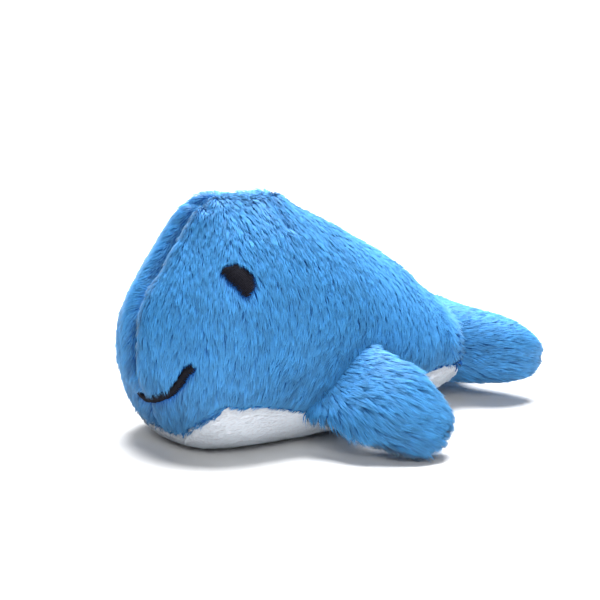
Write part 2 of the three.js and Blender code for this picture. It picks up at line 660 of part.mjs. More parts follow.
function add(name, solid, material) {
  const mesh = new THREE.Mesh(geometryOf(solid), material);
  mesh.name = name;
  whale.add(mesh);
}

function addPair(name, solid, material) {
  add(`left_${name}`, solid, material);
  add(`right_${name}`, mirrored(solid), material);
}

addPair("side_panel", leftFlankPanel(), BLUE_PLUSH);
add("belly_panel", bellyPanel(), WHITE_PLUSH);
add("body_filling", bodyFilling().subtract(sachetPocket()).subtract(tailSocket()), POLYESTER_FILLING);
add("sachet_upper_ply", sachetPly(1), SACHET_CLOTH);
add("sachet_lower_ply", sachetPly(-1), SACHET_CLOTH);
add("dried_catnip", driedCatnip(), CATNIP);
addPair("fin_upper_panel", finPanel(1), BLUE_PLUSH);
addPair("fin_lower_panel", finPanel(-1), BLUE_PLUSH);
addPair("fin_filling", finFilling(), POLYESTER_FILLING);
add("tail_upper_panel", flukePanel(1), BLUE_PLUSH);
add("tail_lower_panel", flukePanel(-1), BLUE_PLUSH);
add("tail_filling", flukeFilling(), POLYESTER_FILLING);
addPair("eye_embroidery", eyeEmbroidery(), BLACK_THREAD);
addPair("smile_embroidery", smileEmbroidery(), BLACK_THREAD);
add("centre_seam_thread", centreSeamThread(), BLUE_THREAD);
addPair("belly_seam_thread", bellySeamThread(), BLUE_THREAD);
addPair("fin_seam_thread", finSeamThread(), BLUE_THREAD);
add("tail_seam_thread", tailSeamThread(), BLUE_THREAD);

export default whale;
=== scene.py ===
# Stuffed plush whale, a cat toy: plush covers, pile, embroidery, stitches and filling round the packed model.
import json
import math
from contextlib import contextmanager

import bmesh
import bpy
import numpy as np
from bpy.props import FloatProperty, FloatVectorProperty, PointerProperty
from bpy.types import Operator, Panel, PropertyGroup
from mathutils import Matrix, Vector
from mathutils.bvhtree import BVHTree
from mathutils.kdtree import KDTree


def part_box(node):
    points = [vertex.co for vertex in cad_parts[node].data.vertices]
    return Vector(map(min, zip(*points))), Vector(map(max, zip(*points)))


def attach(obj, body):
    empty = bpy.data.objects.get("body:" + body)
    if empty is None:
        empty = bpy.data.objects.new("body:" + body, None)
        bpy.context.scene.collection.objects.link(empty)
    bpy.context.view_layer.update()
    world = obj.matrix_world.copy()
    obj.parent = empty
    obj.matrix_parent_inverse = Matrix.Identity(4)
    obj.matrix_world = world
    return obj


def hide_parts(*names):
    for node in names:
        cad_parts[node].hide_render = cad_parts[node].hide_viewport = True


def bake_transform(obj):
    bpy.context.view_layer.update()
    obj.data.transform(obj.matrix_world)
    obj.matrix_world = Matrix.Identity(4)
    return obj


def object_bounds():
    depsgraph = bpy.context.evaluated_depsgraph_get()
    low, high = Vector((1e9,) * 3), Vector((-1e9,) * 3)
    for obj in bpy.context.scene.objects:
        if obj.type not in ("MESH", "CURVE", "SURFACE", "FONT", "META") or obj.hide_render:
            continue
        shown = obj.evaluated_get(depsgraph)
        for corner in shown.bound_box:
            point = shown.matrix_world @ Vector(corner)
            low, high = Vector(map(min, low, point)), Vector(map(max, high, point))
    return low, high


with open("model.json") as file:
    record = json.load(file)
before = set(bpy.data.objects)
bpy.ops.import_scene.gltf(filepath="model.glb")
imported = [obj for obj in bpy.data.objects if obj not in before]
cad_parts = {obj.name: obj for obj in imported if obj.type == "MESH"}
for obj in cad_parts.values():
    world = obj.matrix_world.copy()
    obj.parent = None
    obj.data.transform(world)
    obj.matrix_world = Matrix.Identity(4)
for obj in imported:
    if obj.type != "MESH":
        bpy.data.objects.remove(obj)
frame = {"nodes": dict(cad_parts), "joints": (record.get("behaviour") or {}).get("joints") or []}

bl_info = {
    "name": "Plush Whale",
    "version": (1, 0, 0),
    "blender": (4, 5, 0),
    "location": "3D View > Sidebar > Plush Whale",
    "description": "Builds a stuffed plush whale round its packed model",
    "category": "Object",
}

NODES = frame["nodes"]
HINGES = {joint["child"]: Vector(joint["pos_m"]) for joint in frame["joints"]}
AXES = {joint["child"]: Vector(joint["axis"]).normalized() for joint in frame["joints"]}
CAD_LOW, CAD_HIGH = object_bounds()
MM = 0.001

# Panels of the body in the order of their material indices
BODY_PANELS = ("left_side_panel", "right_side_panel", "belly_panel")
LEFT, RIGHT, BELLY = range(3)
SIDES = {"left": 1.0, "right": -1.0}

# Keeps a division away from nothing
TINY = 1e-12

# Reading the sewn plies
HAIR = 0.01 * MM
SHEET_WALL = 2.0 * MM
SEAM_WELD = 0.42 * MM
SMALL_HOLE_SIDES = 14
JOIN_FACE_ANGLE = math.radians(50)
JOIN_SHAPE_ANGLE = math.radians(70)

# Simulation of the filling's pressure, done at ten times the size
SIM_SCALE = 10.0
SIM_FRAMES = 20
SIM_PRESSURE = 4.0


class PileSettings(PropertyGroup):
    """Length, lean and colour of the plush pile."""

    body_length: FloatProperty(
        name="Body pile", description="Length of the pile on the body", default=4.0 * MM, unit="LENGTH")
    fin_length: FloatProperty(
        name="Fin pile", description="Length of the pile on the side fins",
        default=5.6 * MM, unit="LENGTH")
    tail_length: FloatProperty(
        name="Tail pile", description="Length of the pile on the tail", default=4.0 * MM, unit="LENGTH")
    belly_length: FloatProperty(
        name="Belly pile", description="Length of the pile on the belly",
        default=1.3 * MM, unit="LENGTH")
    lock_width: FloatProperty(
        name="Lock width", description="Width of one lock of fibres", default=0.25 * MM, unit="LENGTH")
    spacing: FloatProperty(
        name="Lock spacing", description="Distance between two locks", default=0.37 * MM, unit="LENGTH")
    clump_spacing: FloatProperty(
        name="Clump spacing", description="Distance between two clumps of locks",
        default=1.9 * MM, unit="LENGTH")
    lean: FloatProperty(
        name="Lean", description="Angle of the pile above the cloth",
        default=math.radians(23), subtype="ANGLE")
    root_colour: FloatVectorProperty(
        name="Root colour", description="Colour deep in the blue pile",
        subtype="COLOR", size=3, default=(0.010, 0.136, 0.50))
    tip_colour: FloatVectorProperty(
        name="Tip colour", description="Colour of the tips of the blue pile",
        subtype="COLOR", size=3, default=(0.056, 0.310, 0.655))
    white_root_colour: FloatVectorProperty(
        name="White root colour", description="Colour deep in the white pile",
        subtype="COLOR", size=3, default=(0.66, 0.71, 0.78))
    white_tip_colour: FloatVectorProperty(
        name="White tip colour", description="Colour of the tips of the white pile",
        subtype="COLOR", size=3, default=(0.72, 0.77, 0.83))


class CoverSettings(PropertyGroup):
    """Cloth of the covers and the depth of their seams."""

    cloth_thickness: FloatProperty(
        name="Cloth", description="Thickness of the backing cloth", default=0.6 * MM, unit="LENGTH")
    pile_depth: FloatProperty(
        name="Pile depth", description="Depth of the backing cloth under the tips of the pile",
        default=1.3 * MM, unit="LENGTH")
    belly_depth: FloatProperty(
        name="Belly pile depth", description="The same on the belly", default=0.7 * MM, unit="LENGTH")
    puff: FloatProperty(
        name="Puff", description="How far the filling may push the cloth out",
        default=0.7 * MM, unit="LENGTH")
    seam_depth: FloatProperty(
        name="Seam depth", description="Depth of the valley at a seam", default=2.4 * MM, unit="LENGTH")
    seam_width: FloatProperty(
        name="Seam width", description="Half width of the valley at a seam",
        default=1.3 * MM, unit="LENGTH")
    seam_drift: FloatProperty(
        name="Seam drift", description="How far the face seam strays to the right",
        default=2.0 * MM, unit="LENGTH")
    unevenness: FloatProperty(
        name="Unevenness", description="Height of the soft lumps of the stuffing",
        default=0.35 * MM, unit="LENGTH")
    shoulder_height: FloatProperty(
        name="Shoulders", description="Height of the round of the head beside its seam",
        default=1.6 * MM, unit="LENGTH")
    rim_height: FloatProperty(
        name="Rim", description="Height of the turned rim at the body's end",
        default=0.4 * MM, unit="LENGTH")


class StitchSettings(PropertyGroup):
    """Embroidery and seam stitches."""

    satin_width: FloatProperty(
        name="Satin stitch", description="Width of one satin stitch", default=0.42 * MM, unit="LENGTH")
    satin_depth: FloatProperty(
        name="Satin depth", description="Depth of the embroidery under the tips of the pile",
        default=0.4 * MM, unit="LENGTH")
    satin_dip: FloatProperty(
        name="Satin dip", description="How far the ends of a satin stitch dip below its middle",
        default=0.9 * MM, unit="LENGTH")
    smile_width: FloatProperty(
        name="Smile width", description="Width of the embroidered smile",
        default=2.15 * MM, unit="LENGTH")
    seam_stitch: FloatProperty(
        name="Seam stitch", description="Length of one seam stitch", default=2.6 * MM, unit="LENGTH")
    seam_gap: FloatProperty(
        name="Seam stitch gap", description="Gap between two seam stitches",
        default=0.7 * MM, unit="LENGTH")
    thread_width: FloatProperty(
        name="Sewing thread", description="Width of the sewing thread", default=0.45 * MM, unit="LENGTH")
    black: FloatVectorProperty(
        name="Black thread", description="Colour of the embroidery",
        subtype="COLOR", size=3, default=(0.005, 0.005, 0.009))
    blue: FloatVectorProperty(
        name="Blue thread", description="Colour of the sewing thread",
        subtype="COLOR", size=3, default=(0.008, 0.05, 0.2))


class StudioSettings(PropertyGroup):
    """Camera, floor and light."""

    azimuth: FloatProperty(
        name="Azimuth", description="Camera angle round the whale",
        default=math.radians(55), subtype="ANGLE")
    elevation: FloatProperty(
        name="Elevation", description="Camera angle above the floor",
        default=math.radians(14), subtype="ANGLE")
    distance: FloatProperty(
        name="Distance", description="Camera distance", default=650 * MM, unit="LENGTH")
    field: FloatProperty(
        name="Field of view", description="Angle across the picture",
        default=math.radians(14.5), subtype="ANGLE")
    target: FloatVectorProperty(
        name="Target", description="Point in the middle of the picture",
        subtype="TRANSLATION", size=3, unit="LENGTH",
        default=(5.07 * MM, 5.73 * MM, 35.96 * MM))
    sky: FloatProperty(name="Sky", description="Strength of the light from all round", default=0.12)
    key: FloatProperty(
        name="Key light", description="Power of the soft light above", default=1.0, unit="POWER")
    floor_colour: FloatVectorProperty(
        name="Floor", description="Colour of the floor",
        subtype="COLOR", size=3, default=(0.82, 0.82, 0.82))


# Vectors in rows

def unit(rows):
    return rows / np.maximum(np.linalg.norm(rows, axis=-1, keepdims=True), TINY)


def along_surface(directions, normals):
    """The part of each direction that lies in the surface."""
    return unit(directions - np.sum(directions * normals, axis=1, keepdims=True) * normals)


def ease(x):
    x = np.clip(x, 0, 1)
    return x * x * (3 - 2 * x)


def ramp(values, start, width):
    """Rises smoothly from 0 at the start to 1 after the width. A negative width goes towards lower values."""
    return ease((values - start) / width)


def falloff(away, reach):
    """1 at a place and less round it."""
    return np.exp(-((away / reach) ** 2))


# How far the plane waves of a ripple differ in length, and their usual height when they add up
RIPPLE_SPREAD = (0.6, 1.5)
RIPPLE_HEIGHT = 0.55


def ripple(points, wavelength, seed, waves=7):
    """Smooth noise from -1 to 1: a few plane waves in different directions."""
    rng = np.random.default_rng(seed)
    ways = unit(rng.normal(size=(waves, 3))) * (2 * math.pi / wavelength)
    ways = ways * rng.uniform(*RIPPLE_SPREAD, (waves, 1))
    starts = rng.uniform(0, 2 * math.pi, waves)
    return np.sin(points @ ways.T + starts).sum(axis=1) / (waves * RIPPLE_HEIGHT)


# Meshes

def coordinates(mesh):
    rows = np.empty(len(mesh.vertices) * 3, np.float32)
    mesh.vertices.foreach_get("co", rows)
    return rows.reshape(-1, 3).astype(float)


def set_coordinates(mesh, rows):
    mesh.vertices.foreach_set("co", rows.astype(np.float32).ravel())
    mesh.update()


def vertex_normals(mesh):
    rows = np.empty(len(mesh.vertices) * 3, np.float32)
    mesh.vertex_normals.foreach_get("vector", rows)
    return rows.reshape(-1, 3).astype(float)


def new_object(name, mesh):
    made = bpy.data.objects.new(name, mesh)
    bpy.context.scene.collection.objects.link(made)
    return made


def mesh_from(mesh_tool, name):
    """A new mesh of what the mesh tool holds."""
    mesh = bpy.data.meshes.new(name)
    mesh_tool.to_mesh(mesh)
    mesh_tool.free()
    return mesh


@contextmanager
def opened(mesh):
    """The mesh as a bmesh to work on, written back at the end."""
    mesh_tool = bmesh.new()
    mesh_tool.from_mesh(mesh)
    yield mesh_tool
    mesh_tool.to_mesh(mesh)
    mesh_tool.free()
    mesh.update()


def apply_modifiers(obj):
    depsgraph = bpy.context.evaluated_depsgraph_get()
    evaluated = obj.evaluated_get(depsgraph)
    mesh = bpy.data.meshes.new_from_object(evaluated, preserve_all_data_layers=True, depsgraph=depsgraph)
    obj.modifiers.clear()
    old = obj.data
    obj.data = mesh
    bpy.data.meshes.remove(old)


def subdivide(obj, levels):
    smooth = obj.modifiers.new("smooth", "SUBSURF")
    smooth.levels = levels
    smooth.render_levels = levels
    smooth.boundary_smooth = "PRESERVE_CORNERS"
    apply_modifiers(obj)


def tree_of(mesh):
    return BVHTree.FromPolygons([v.co for v in mesh.vertices], [p.vertices[:] for p in mesh.polygons])


def shade_smooth(obj):
    obj.data.polygons.foreach_set("use_smooth", [True] * len(obj.data.polygons))


def points_tree(points):
    tree = KDTree(len(points))
    for index, point in enumerate(points):
        tree.insert(point, index)
    tree.balance()
    return tree


def distances(tree, points):
    return np.array([tree.find(point)[2] for point in points])


# Sewn forms: the outer faces of the plies, joined where they are sewn

def outer_faces(node, group):
    """The corners of each face of a ply that looks out of the stuffed form made by the group of nodes."""
    own = tree_of(NODES[node].data)
    others = [tree_of(NODES[name].data) for name in group]
    for polygon in NODES[node].data.polygons:
        centre, normal = polygon.center, polygon.normal
        behind = own.ray_cast(centre - normal * HAIR, -normal)
        if behind[0] is None or behind[3] > SHEET_WALL:
            continue
        if all(tree.ray_cast(centre + normal * HAIR, normal)[0] is None for tree in others):
            yield [NODES[node].data.vertices[k].co for k in polygon.vertices]


def sewn_form(name, plies, filling, filled_with=0):
    """One closed skin over the plies. Each face keeps its ply's place in the list as its material index."""
    mesh_tool = bmesh.new()
    for index, ply in enumerate(plies):
        for corners in outer_faces(ply, (*plies, filling)):
            face = mesh_tool.faces.new([mesh_tool.verts.new(corner) for corner in corners])
            face.material_index = index
    bmesh.ops.remove_doubles(mesh_tool, verts=mesh_tool.verts, dist=SEAM_WELD)
    bmesh.ops.dissolve_degenerate(mesh_tool, dist=HAIR, edges=mesh_tool.edges)
    bmesh.ops.join_triangles(
        mesh_tool, faces=mesh_tool.faces, cmp_materials=True,
        angle_face_threshold=JOIN_FACE_ANGLE, angle_shape_threshold=JOIN_SHAPE_ANGLE)
    made = bmesh.ops.holes_fill(mesh_tool, edges=mesh_tool.edges, sides=SMALL_HOLE_SIDES)
    for face in made["faces"]:
        face.material_index = filled_with
    bmesh.ops.recalc_face_normals(mesh_tool, faces=mesh_tool.faces)
    mesh = mesh_from(mesh_tool, name)
    for _ in plies:
        mesh.materials.append(None)
    return new_object(name, mesh)


def seam_vertices(mesh, pair=None):
    """The vertices on edges between two plies, or between one pair of plies."""
    touching = [set() for _ in mesh.vertices]
    for polygon in mesh.polygons:
        for k in polygon.vertices:
            touching[k].add(polygon.material_index)
    if pair is None:
        return [k for k, plies in enumerate(touching) if len(plies) > 1]
    return [k for k, plies in enumerate(touching) if plies.issuperset(pair)]


def open_vertices(mesh):
    """The vertices on the form's open edge."""
    counts = {}
    for polygon in mesh.polygons:
        for key in polygon.edge_keys:
            counts[key] = counts.get(key, 0) + 1
    return sorted({k for key, count in counts.items() if count == 1 for k in key})


def puff_up(obj, pinned, cap):
    """Inflates the form with cloth pressure and keeps each point within the cap of its place."""
    before = coordinates(obj.data)
    set_coordinates(obj.data, before * SIM_SCALE)
    group = obj.vertex_groups.new(name="sewn")
    group.add([int(k) for k in pinned], 1.0, "REPLACE")
    cloth = obj.modifiers.new("filling pressure", "CLOTH")
    cloth.settings.use_pressure = True
    cloth.settings.uniform_pressure_force = SIM_PRESSURE
    cloth.settings.vertex_group_mass = group.name
    cloth.settings.effector_weights.gravity = 0
    cloth.point_cache.frame_start = 1
    cloth.point_cache.frame_end = SIM_FRAMES
    for step in range(1, SIM_FRAMES + 1):
        bpy.context.scene.frame_set(step)
    apply_modifiers(obj)
    bpy.context.scene.frame_set(1)
    obj.vertex_groups.clear()
    move = coordinates(obj.data) / SIM_SCALE - before
    size = np.linalg.norm(move, axis=1, keepdims=True)
    set_coordinates(obj.data, before + move * np.minimum(1, cap / np.maximum(size, TINY)))


def relax(mesh, rounds, share=0.5, keep=()):
    """Evens the surface out: each point moves towards the middle of its neighbours."""
    edges = np.empty(len(mesh.edges) * 2, np.int32)
    mesh.edges.foreach_get("vertices", edges)
    edges = edges.reshape(-1, 2)
    counts = np.bincount(edges.ravel(), minlength=len(mesh.vertices))[:, None]
    moving = np.ones((len(mesh.vertices), 1))
    moving[list(keep)] = 0
    rows = coordinates(mesh)
    for _ in range(rounds):
        total = np.zeros_like(rows)
        np.add.at(total, edges[:, 0], rows[edges[:, 1]])
        np.add.at(total, edges[:, 1], rows[edges[:, 0]])
        rows += (total / np.maximum(counts, 1) - rows) * share * moving
    set_coordinates(mesh, rows)


def press_in(mesh, points, depths, width):
    """Draws the surface in at the points, each to its own depth."""
    rows, normals = coordinates(mesh), vertex_normals(mesh)
    tree = points_tree(points)
    found = [tree.find(row) for row in rows]
    away = np.array([hit[2] for hit in found])
    depth = np.broadcast_to(depths, len(points))[[hit[1] for hit in found]]
    set_coordinates(mesh, rows - normals * (depth * falloff(away, width))[:, None])


def swell(mesh, place, height, reach):
    """Pushes the surface out round one place."""
    rows, normals = coordinates(mesh), vertex_normals(mesh)
    away = np.linalg.norm(rows - np.array(place), axis=1)
    set_coordinates(mesh, rows + normals * (height * falloff(away, reach))[:, None])


def keep_above_floor(mesh, height):
    rows = coordinates(mesh)
    rows[:, 2] = np.maximum(rows[:, 2], height)
    set_coordinates(mesh, rows)


def cloth_of(form, name, plies, thickness):
    """The cloth of some plies of a form, as one closed sheet."""
    mesh_tool = bmesh.new()
    mesh_tool.from_mesh(form.data)
    other = [face for face in mesh_tool.faces if face.material_index not in plies]
    bmesh.ops.delete(mesh_tool, geom=other, context="FACES")
    for face in mesh_tool.faces:
        face.material_index = 0
    made = new_object(name, mesh_from(mesh_tool, name))
    cloth = made.modifiers.new("cloth", "SOLIDIFY")
    cloth.thickness = thickness
    cloth.offset = -1
    apply_modifiers(made)
    shade_smooth(made)
    return made


# Pile: locks of fibres, each a thin three-sided blade with a bend and a tip

# Points tried for each cell of the spacing, so that hardly a cell stays empty
TRIES_PER_CELL = 2.6

LOCK_PARTS = ("starts", "bends", "tips", "tones", "normals", "widths")
# One lock: two rings of three corners and a tip
LOCK_CORNERS = 7
LOCK_LOOPS = 24
RING_SHARES = (1.0, 0.8)
CREST_SHARE = 0.5
CORNER_PLACES = [0.0, 0.0, 0.08, 0.5, 0.5, 0.58, 1.0]
SURFACE_SHADING = 0.85

# The shortest lock that is grown at all, and the shortest that is left after all that shortens it
SHORTEST_GROWN = 0.2 * MM
SHORTEST_KEPT = 0.35 * MM
# How the locks differ: turns and rises of clumps and single locks, in radians and shares of the lean
SWIRL_WAVE = 18 * MM
CLUMP_TURN, LOCK_TURN, WILD_TURN = 0.09, 0.065, 2.2
CLUMP_RISE, LOCK_RISE = 0.10, 0.14
LENGTH_SPREAD = 0.10
LENGTH_WAVE, LENGTH_WAVE_HEIGHT = 7 * MM, 0.08
WIDTH_SPREAD = 0.15
# How a lock bends, and how far its bend and its tip are drawn to the middle of the clump
BEND_RISE, TIP_RISE = 1.15, 0.55
BEND_GATHER, TIP_GATHER = 0.3, 0.75
GATHER_SPREAD, MOST_GATHER = 0.2, 0.95
CLUMP_SHIFT = 0.3 * MM
ROOT_DEPTH = 0.25 * MM
FLOOR_ROOM = 0.08 * MM
# How the tones differ, from 0 for dark to 1 for light
MIDDLE_TONE = 0.5
CLUMP_TONE, LOCK_TONE, BRIGHT_TONE, BRIGHT_RARITY = 0.40, 0.07, 0.25, 8
# Painted light: locks that face up are painted lighter, by this share of their upward tilt
UPWARD_PAINTED_LIGHT = 0.26
TONE_WAVE, TONE_WAVE_HEIGHT = 14 * MM, 0.07
TONE_LIMITS = (0.02, 0.98)

# How round a lock is shaded
BLUE_ROUNDNESS = 0.32
WHITE_ROUNDNESS = 0.06

# Where the pile leaves the embroidery free
EMBROIDERY_ROOM = 0.35 * MM
EMBROIDERY_NEAR = 5 * MM
EMBROIDERY_SEARCH = 4 * MM
LOCK_WAY, LOCK_RAISED = 0.88, 0.35
LOCK_STEPS = (0.2, 0.35, 0.5, 0.65, 0.8, 1.0)


def thinned(points, cell):
    """One point at most in each small cube of space."""
    keys = np.floor(points / cell).astype(np.int64)
    _, first = np.unique(keys, axis=0, return_index=True)
    return np.sort(first)


def scattered(mesh, plies, spacing, rng):
    """Points spread evenly over some plies of a form, with the surface's normals there."""
    mesh.calc_loop_triangles()
    count = len(mesh.loop_triangles)
    corners = np.empty(count * 3, np.int32)
    mesh.loop_triangles.foreach_get("vertices", corners)
    corners = corners.reshape(-1, 3)
    faces = np.empty(count, np.int32)
    mesh.loop_triangles.foreach_get("polygon_index", faces)
    materials = np.empty(len(mesh.polygons), np.int32)
    mesh.polygons.foreach_get("material_index", materials)
    corners = corners[np.isin(materials[faces], plies)]
    rows, normals = coordinates(mesh), vertex_normals(mesh)
    a, b, c = (rows[corners[:, k]] for k in range(3))
    areas = np.linalg.norm(np.cross(b - a, c - a), axis=1) / 2
    tries = int(areas.sum() / spacing**2 * TRIES_PER_CELL)
    chosen = rng.choice(len(corners), tries, p=areas / areas.sum())
    u, v = rng.random((2, tries, 1))
    flip = u + v > 1
    u, v = np.where(flip, 1 - u, u), np.where(flip, 1 - v, v)
    points = a[chosen] * (1 - u - v) + b[chosen] * u + c[chosen] * v
    facing = [normals[corners[chosen, k]] for k in range(3)]
    normal = unit(facing[0] * (1 - u - v) + facing[1] * u + facing[2] * v)
    kept = thinned(points, spacing)
    return points[kept], normal[kept]


def lock_mesh(name, rings, tips, tones, normals, roundness, width):
    """Blades through two rings and a tip, shaded by their own shape as far as roundness says. The map holds
    the lock's tone and the place along it."""
    count = len(tips)
    corners = []
    for place, (centre, share) in enumerate(zip(rings, RING_SHARES)):
        axis = unit((rings[1] if place == 0 else tips) - centre)
        side = unit(np.cross(axis, normals))
        crest = unit(np.cross(side, axis))
        corners += [
            centre - side * share * width[:, None] / 2,
            centre + side * share * width[:, None] / 2,
            centre + crest * share * width[:, None] * CREST_SHARE,
        ]
    points = np.stack([*corners, tips], axis=1).reshape(-1, 3)
    quads = np.array([(1, 0, 3, 4), (2, 1, 4, 5), (0, 2, 5, 3)])
    caps = np.array([(4, 3, 6), (5, 4, 6), (3, 5, 6), (0, 1, 2)])
    offset = (np.arange(count) * LOCK_CORNERS)[:, None, None]
    loops = np.concatenate([(quads + offset).reshape(count, -1), (caps + offset).reshape(count, -1)], axis=1)
    starts = np.concatenate([np.arange(len(quads)) * 4, quads.size + np.arange(len(caps)) * 3])
    starts = (starts[None, :] + (np.arange(count) * LOCK_LOOPS)[:, None]).ravel()
    mesh = bpy.data.meshes.new(name)
    mesh.vertices.add(len(points))
    mesh.vertices.foreach_set("co", points.astype(np.float32).ravel())
    mesh.loops.add(loops.size)
    mesh.loops.foreach_set("vertex_index", loops.astype(np.int32).ravel())
    mesh.polygons.add(len(starts))
    mesh.polygons.foreach_set("loop_start", starts.astype(np.int32))
    mesh.update(calc_edges=True)
    places = np.stack([np.repeat(tones, LOCK_CORNERS), np.tile(CORNER_PLACES, count)], axis=1)
    layer = mesh.uv_layers.new(name="OFBake")
    layer.data.foreach_set("uv", places[loops.ravel()].astype(np.float32).ravel())
    mesh.polygons.foreach_set("use_smooth", [True] * len(starts))
    shape = vertex_normals(mesh)
    shown = unit(shape * roundness + np.repeat(normals, LOCK_CORNERS, axis=0) * SURFACE_SHADING)
    mesh.normals_split_custom_set_from_vertices([tuple(row) for row in shown])
    return mesh


def lock_lines(form, plies, nap, length_at, pile, seed, spacing=1.0, width=1.0, lean=1.0, clump=0.33,
               swirl=0.2, follow=0.0, rough=None, shade=None, off=()):
    """Root, bend and tip of each lock on some plies of a form. The locks lean along the nap, drawn
    together in clumps, and more wildly where rough says so. Where the nap points out of the surface they
    rise towards it, by the share in follow. Their tone is painted lighter where they face up and darker by
    the painted shade in shade, and they stay off the embroidery in off."""
    rng = np.random.default_rng(seed)
    roots, normals = scattered(form.data, plies, pile.spacing * spacing, rng)
    lengths = length_at(roots, normals)
    kept = lengths > SHORTEST_GROWN
    roots, normals, lengths = roots[kept], normals[kept], lengths[kept]
    count = len(roots)
    centres = thinned(roots + rng.normal(size=roots.shape) * CLUMP_SHIFT, pile.clump_spacing)
    centre_tree = points_tree(roots[centres])
    nearest = centres[[centre_tree.find(point)[1] for point in roots]]

    wild = np.zeros(count) if rough is None else rough(roots)
    clump_turn = rng.normal(size=count) * CLUMP_TURN
    swirls = ripple(roots, SWIRL_WAVE, seed + 1) * swirl
    turn = swirls + clump_turn[nearest] + rng.normal(size=count) * LOCK_TURN
    turn *= 1 + WILD_TURN * wild
    ways = unit(nap(roots, normals))
    flow = along_surface(ways, normals)
    upright = follow * np.arcsin(np.clip(np.sum(ways * normals, axis=1), 0, 1))
    sideways = np.cross(normals, flow)
    flow = unit(flow * np.cos(turn)[:, None] + sideways * np.sin(turn)[:, None])
    clump_lift = rng.normal(size=count) * CLUMP_RISE
    rise = pile.lean * lean * (1 + clump_lift[nearest] + rng.normal(size=count) * LOCK_RISE)
    rise = np.maximum(rise, upright)
    uneven = ripple(roots, LENGTH_WAVE, seed + 2) * LENGTH_WAVE_HEIGHT
    lengths = lengths * (1 + rng.normal(size=count) * LENGTH_SPREAD) * (1 + uneven)
    for piece in off:
        stay_off(piece, roots, normals, flow, lengths)
    kept = lengths > SHORTEST_KEPT

    def step(angle, share):
        direction = flow * np.cos(angle)[:, None] + normals * np.sin(angle)[:, None]
        return direction * (lengths * share)[:, None]

    bends = roots + step(rise * BEND_RISE, 0.5)
    tips = bends + step(rise * TIP_RISE, 0.5)
    gather = np.minimum(clump * (1 + wild + rng.normal(size=count) * GATHER_SPREAD), MOST_GATHER)[:, None]
    bends = bends + (bends[nearest] - bends) * gather * BEND_GATHER
    tips = tips + (tips[nearest] - tips) * gather * TIP_GATHER
    starts = roots - normals * ROOT_DEPTH
    for rows in (starts, bends, tips):
        rows[:, 2] = np.maximum(rows[:, 2], FLOOR_ROOM)

    clump_tone = rng.random(count)
    bright = rng.random(count) ** BRIGHT_RARITY * BRIGHT_TONE
    tones = MIDDLE_TONE + (clump_tone[nearest] - 0.5) * CLUMP_TONE
    tones = tones + rng.normal(size=count) * LOCK_TONE + bright
    # Painted light on locks that face up, and painted shade from shade, which paints lighter where it is
    # negative
    tones += normals[:, 2] * UPWARD_PAINTED_LIGHT - (0 if shade is None else shade(roots))
    tones = np.clip(tones + ripple(roots, TONE_WAVE, seed + 3) * TONE_WAVE_HEIGHT, *TONE_LIMITS)
    widths = pile.lock_width * width * (1 + rng.normal(size=count) * WIDTH_SPREAD)
    lines = zip(LOCK_PARTS, (starts, bends, tips, tones, normals, widths))
    return {part: rows[kept] for part, rows in lines}


def stay_off(piece, roots, normals, flow, lengths):
    """Shortens the locks that would lie over a piece of embroidery, and takes away those under it."""
    tree = tree_of(piece.data)
    rows = coordinates(piece.data)
    low, high = rows.min(axis=0) - EMBROIDERY_NEAR, rows.max(axis=0) + EMBROIDERY_NEAR
    near = np.all((roots > low) & (roots < high), axis=1)
    for index in np.nonzero(near)[0]:
        root, normal = Vector(roots[index]), Vector(normals[index])
        reach = 0.0
        if tree.ray_cast(root - normal * MM, normal, EMBROIDERY_SEARCH)[0] is None:
            way = Vector(flow[index]) * LOCK_WAY + normal * LOCK_RAISED
            for share in LOCK_STEPS:
                if tree.find_nearest(root + way * (lengths[index] * share))[3] < EMBROIDERY_ROOM:
                    break
                reach = share
        lengths[index] *= reach


def pile_object(name, locks, chosen=None, roundness=BLUE_ROUNDNESS):
    """One object of the chosen locks."""
    if chosen is None:
        chosen = np.ones(len(locks["tips"]), bool)
    starts, bends, tips, tones, normals, widths = (locks[part][chosen] for part in LOCK_PARTS)
    return new_object(name, lock_mesh(name, (starts, bends), tips, tones, normals, roundness, widths))


# Materials

# How soon a lock's colour changes from its root to its tip: a power
TIP_CLIMB = 0.75
NOISE_DETAIL = 5
THREAD_DISTORTION = 1.5
RELIEF_STRENGTH = 0.6
SHEEN_ROUGHNESS = 0.5
PILE_ROUGHNESS = 0.6
PILE_SPECULAR = 0.35
PILE_SHEEN_TINT = (0.7, 0.86, 1.0)
# How far the tone changes the colour, and the sheen
BLUE_SPREAD, BLUE_SHEEN = 0.9, 0.25
WHITE_SPREAD, WHITE_SHEEN = 0.06, 0.2
CLOTH_ROUGHNESS, CLOTH_SPECULAR = 0.9, 0.1
# Dark and light colour, scale of the fibres and height of their relief
CLOTHS = {
    "blue backing cloth": ((0.008, 0.06, 0.24), (0.02, 0.13, 0.42), 900, 0.2 * MM),
    "white backing cloth": ((0.55, 0.58, 0.64), (0.8, 0.81, 0.85), 900, 0.2 * MM),
    "polyester fibre": ((0.7, 0.7, 0.68), (0.9, 0.9, 0.88), 500, 0.5 * MM),
    "sachet cloth": ((0.6, 0.55, 0.44), (0.8, 0.75, 0.64), 1500, 0.1 * MM),
    "dried leaf": ((0.08, 0.10, 0.03), (0.22, 0.26, 0.09), 700, 0.6 * MM),
}
# Light colour and roughness
THREADS = {
    "black satin thread": ((0.014, 0.014, 0.02), 0.65),
    "blue sewing thread": ((0.012, 0.075, 0.27), 0.8),
}
THREAD_SCALE, THREAD_RELIEF, THREAD_SPECULAR = 2600, 0.05 * MM, 0.06


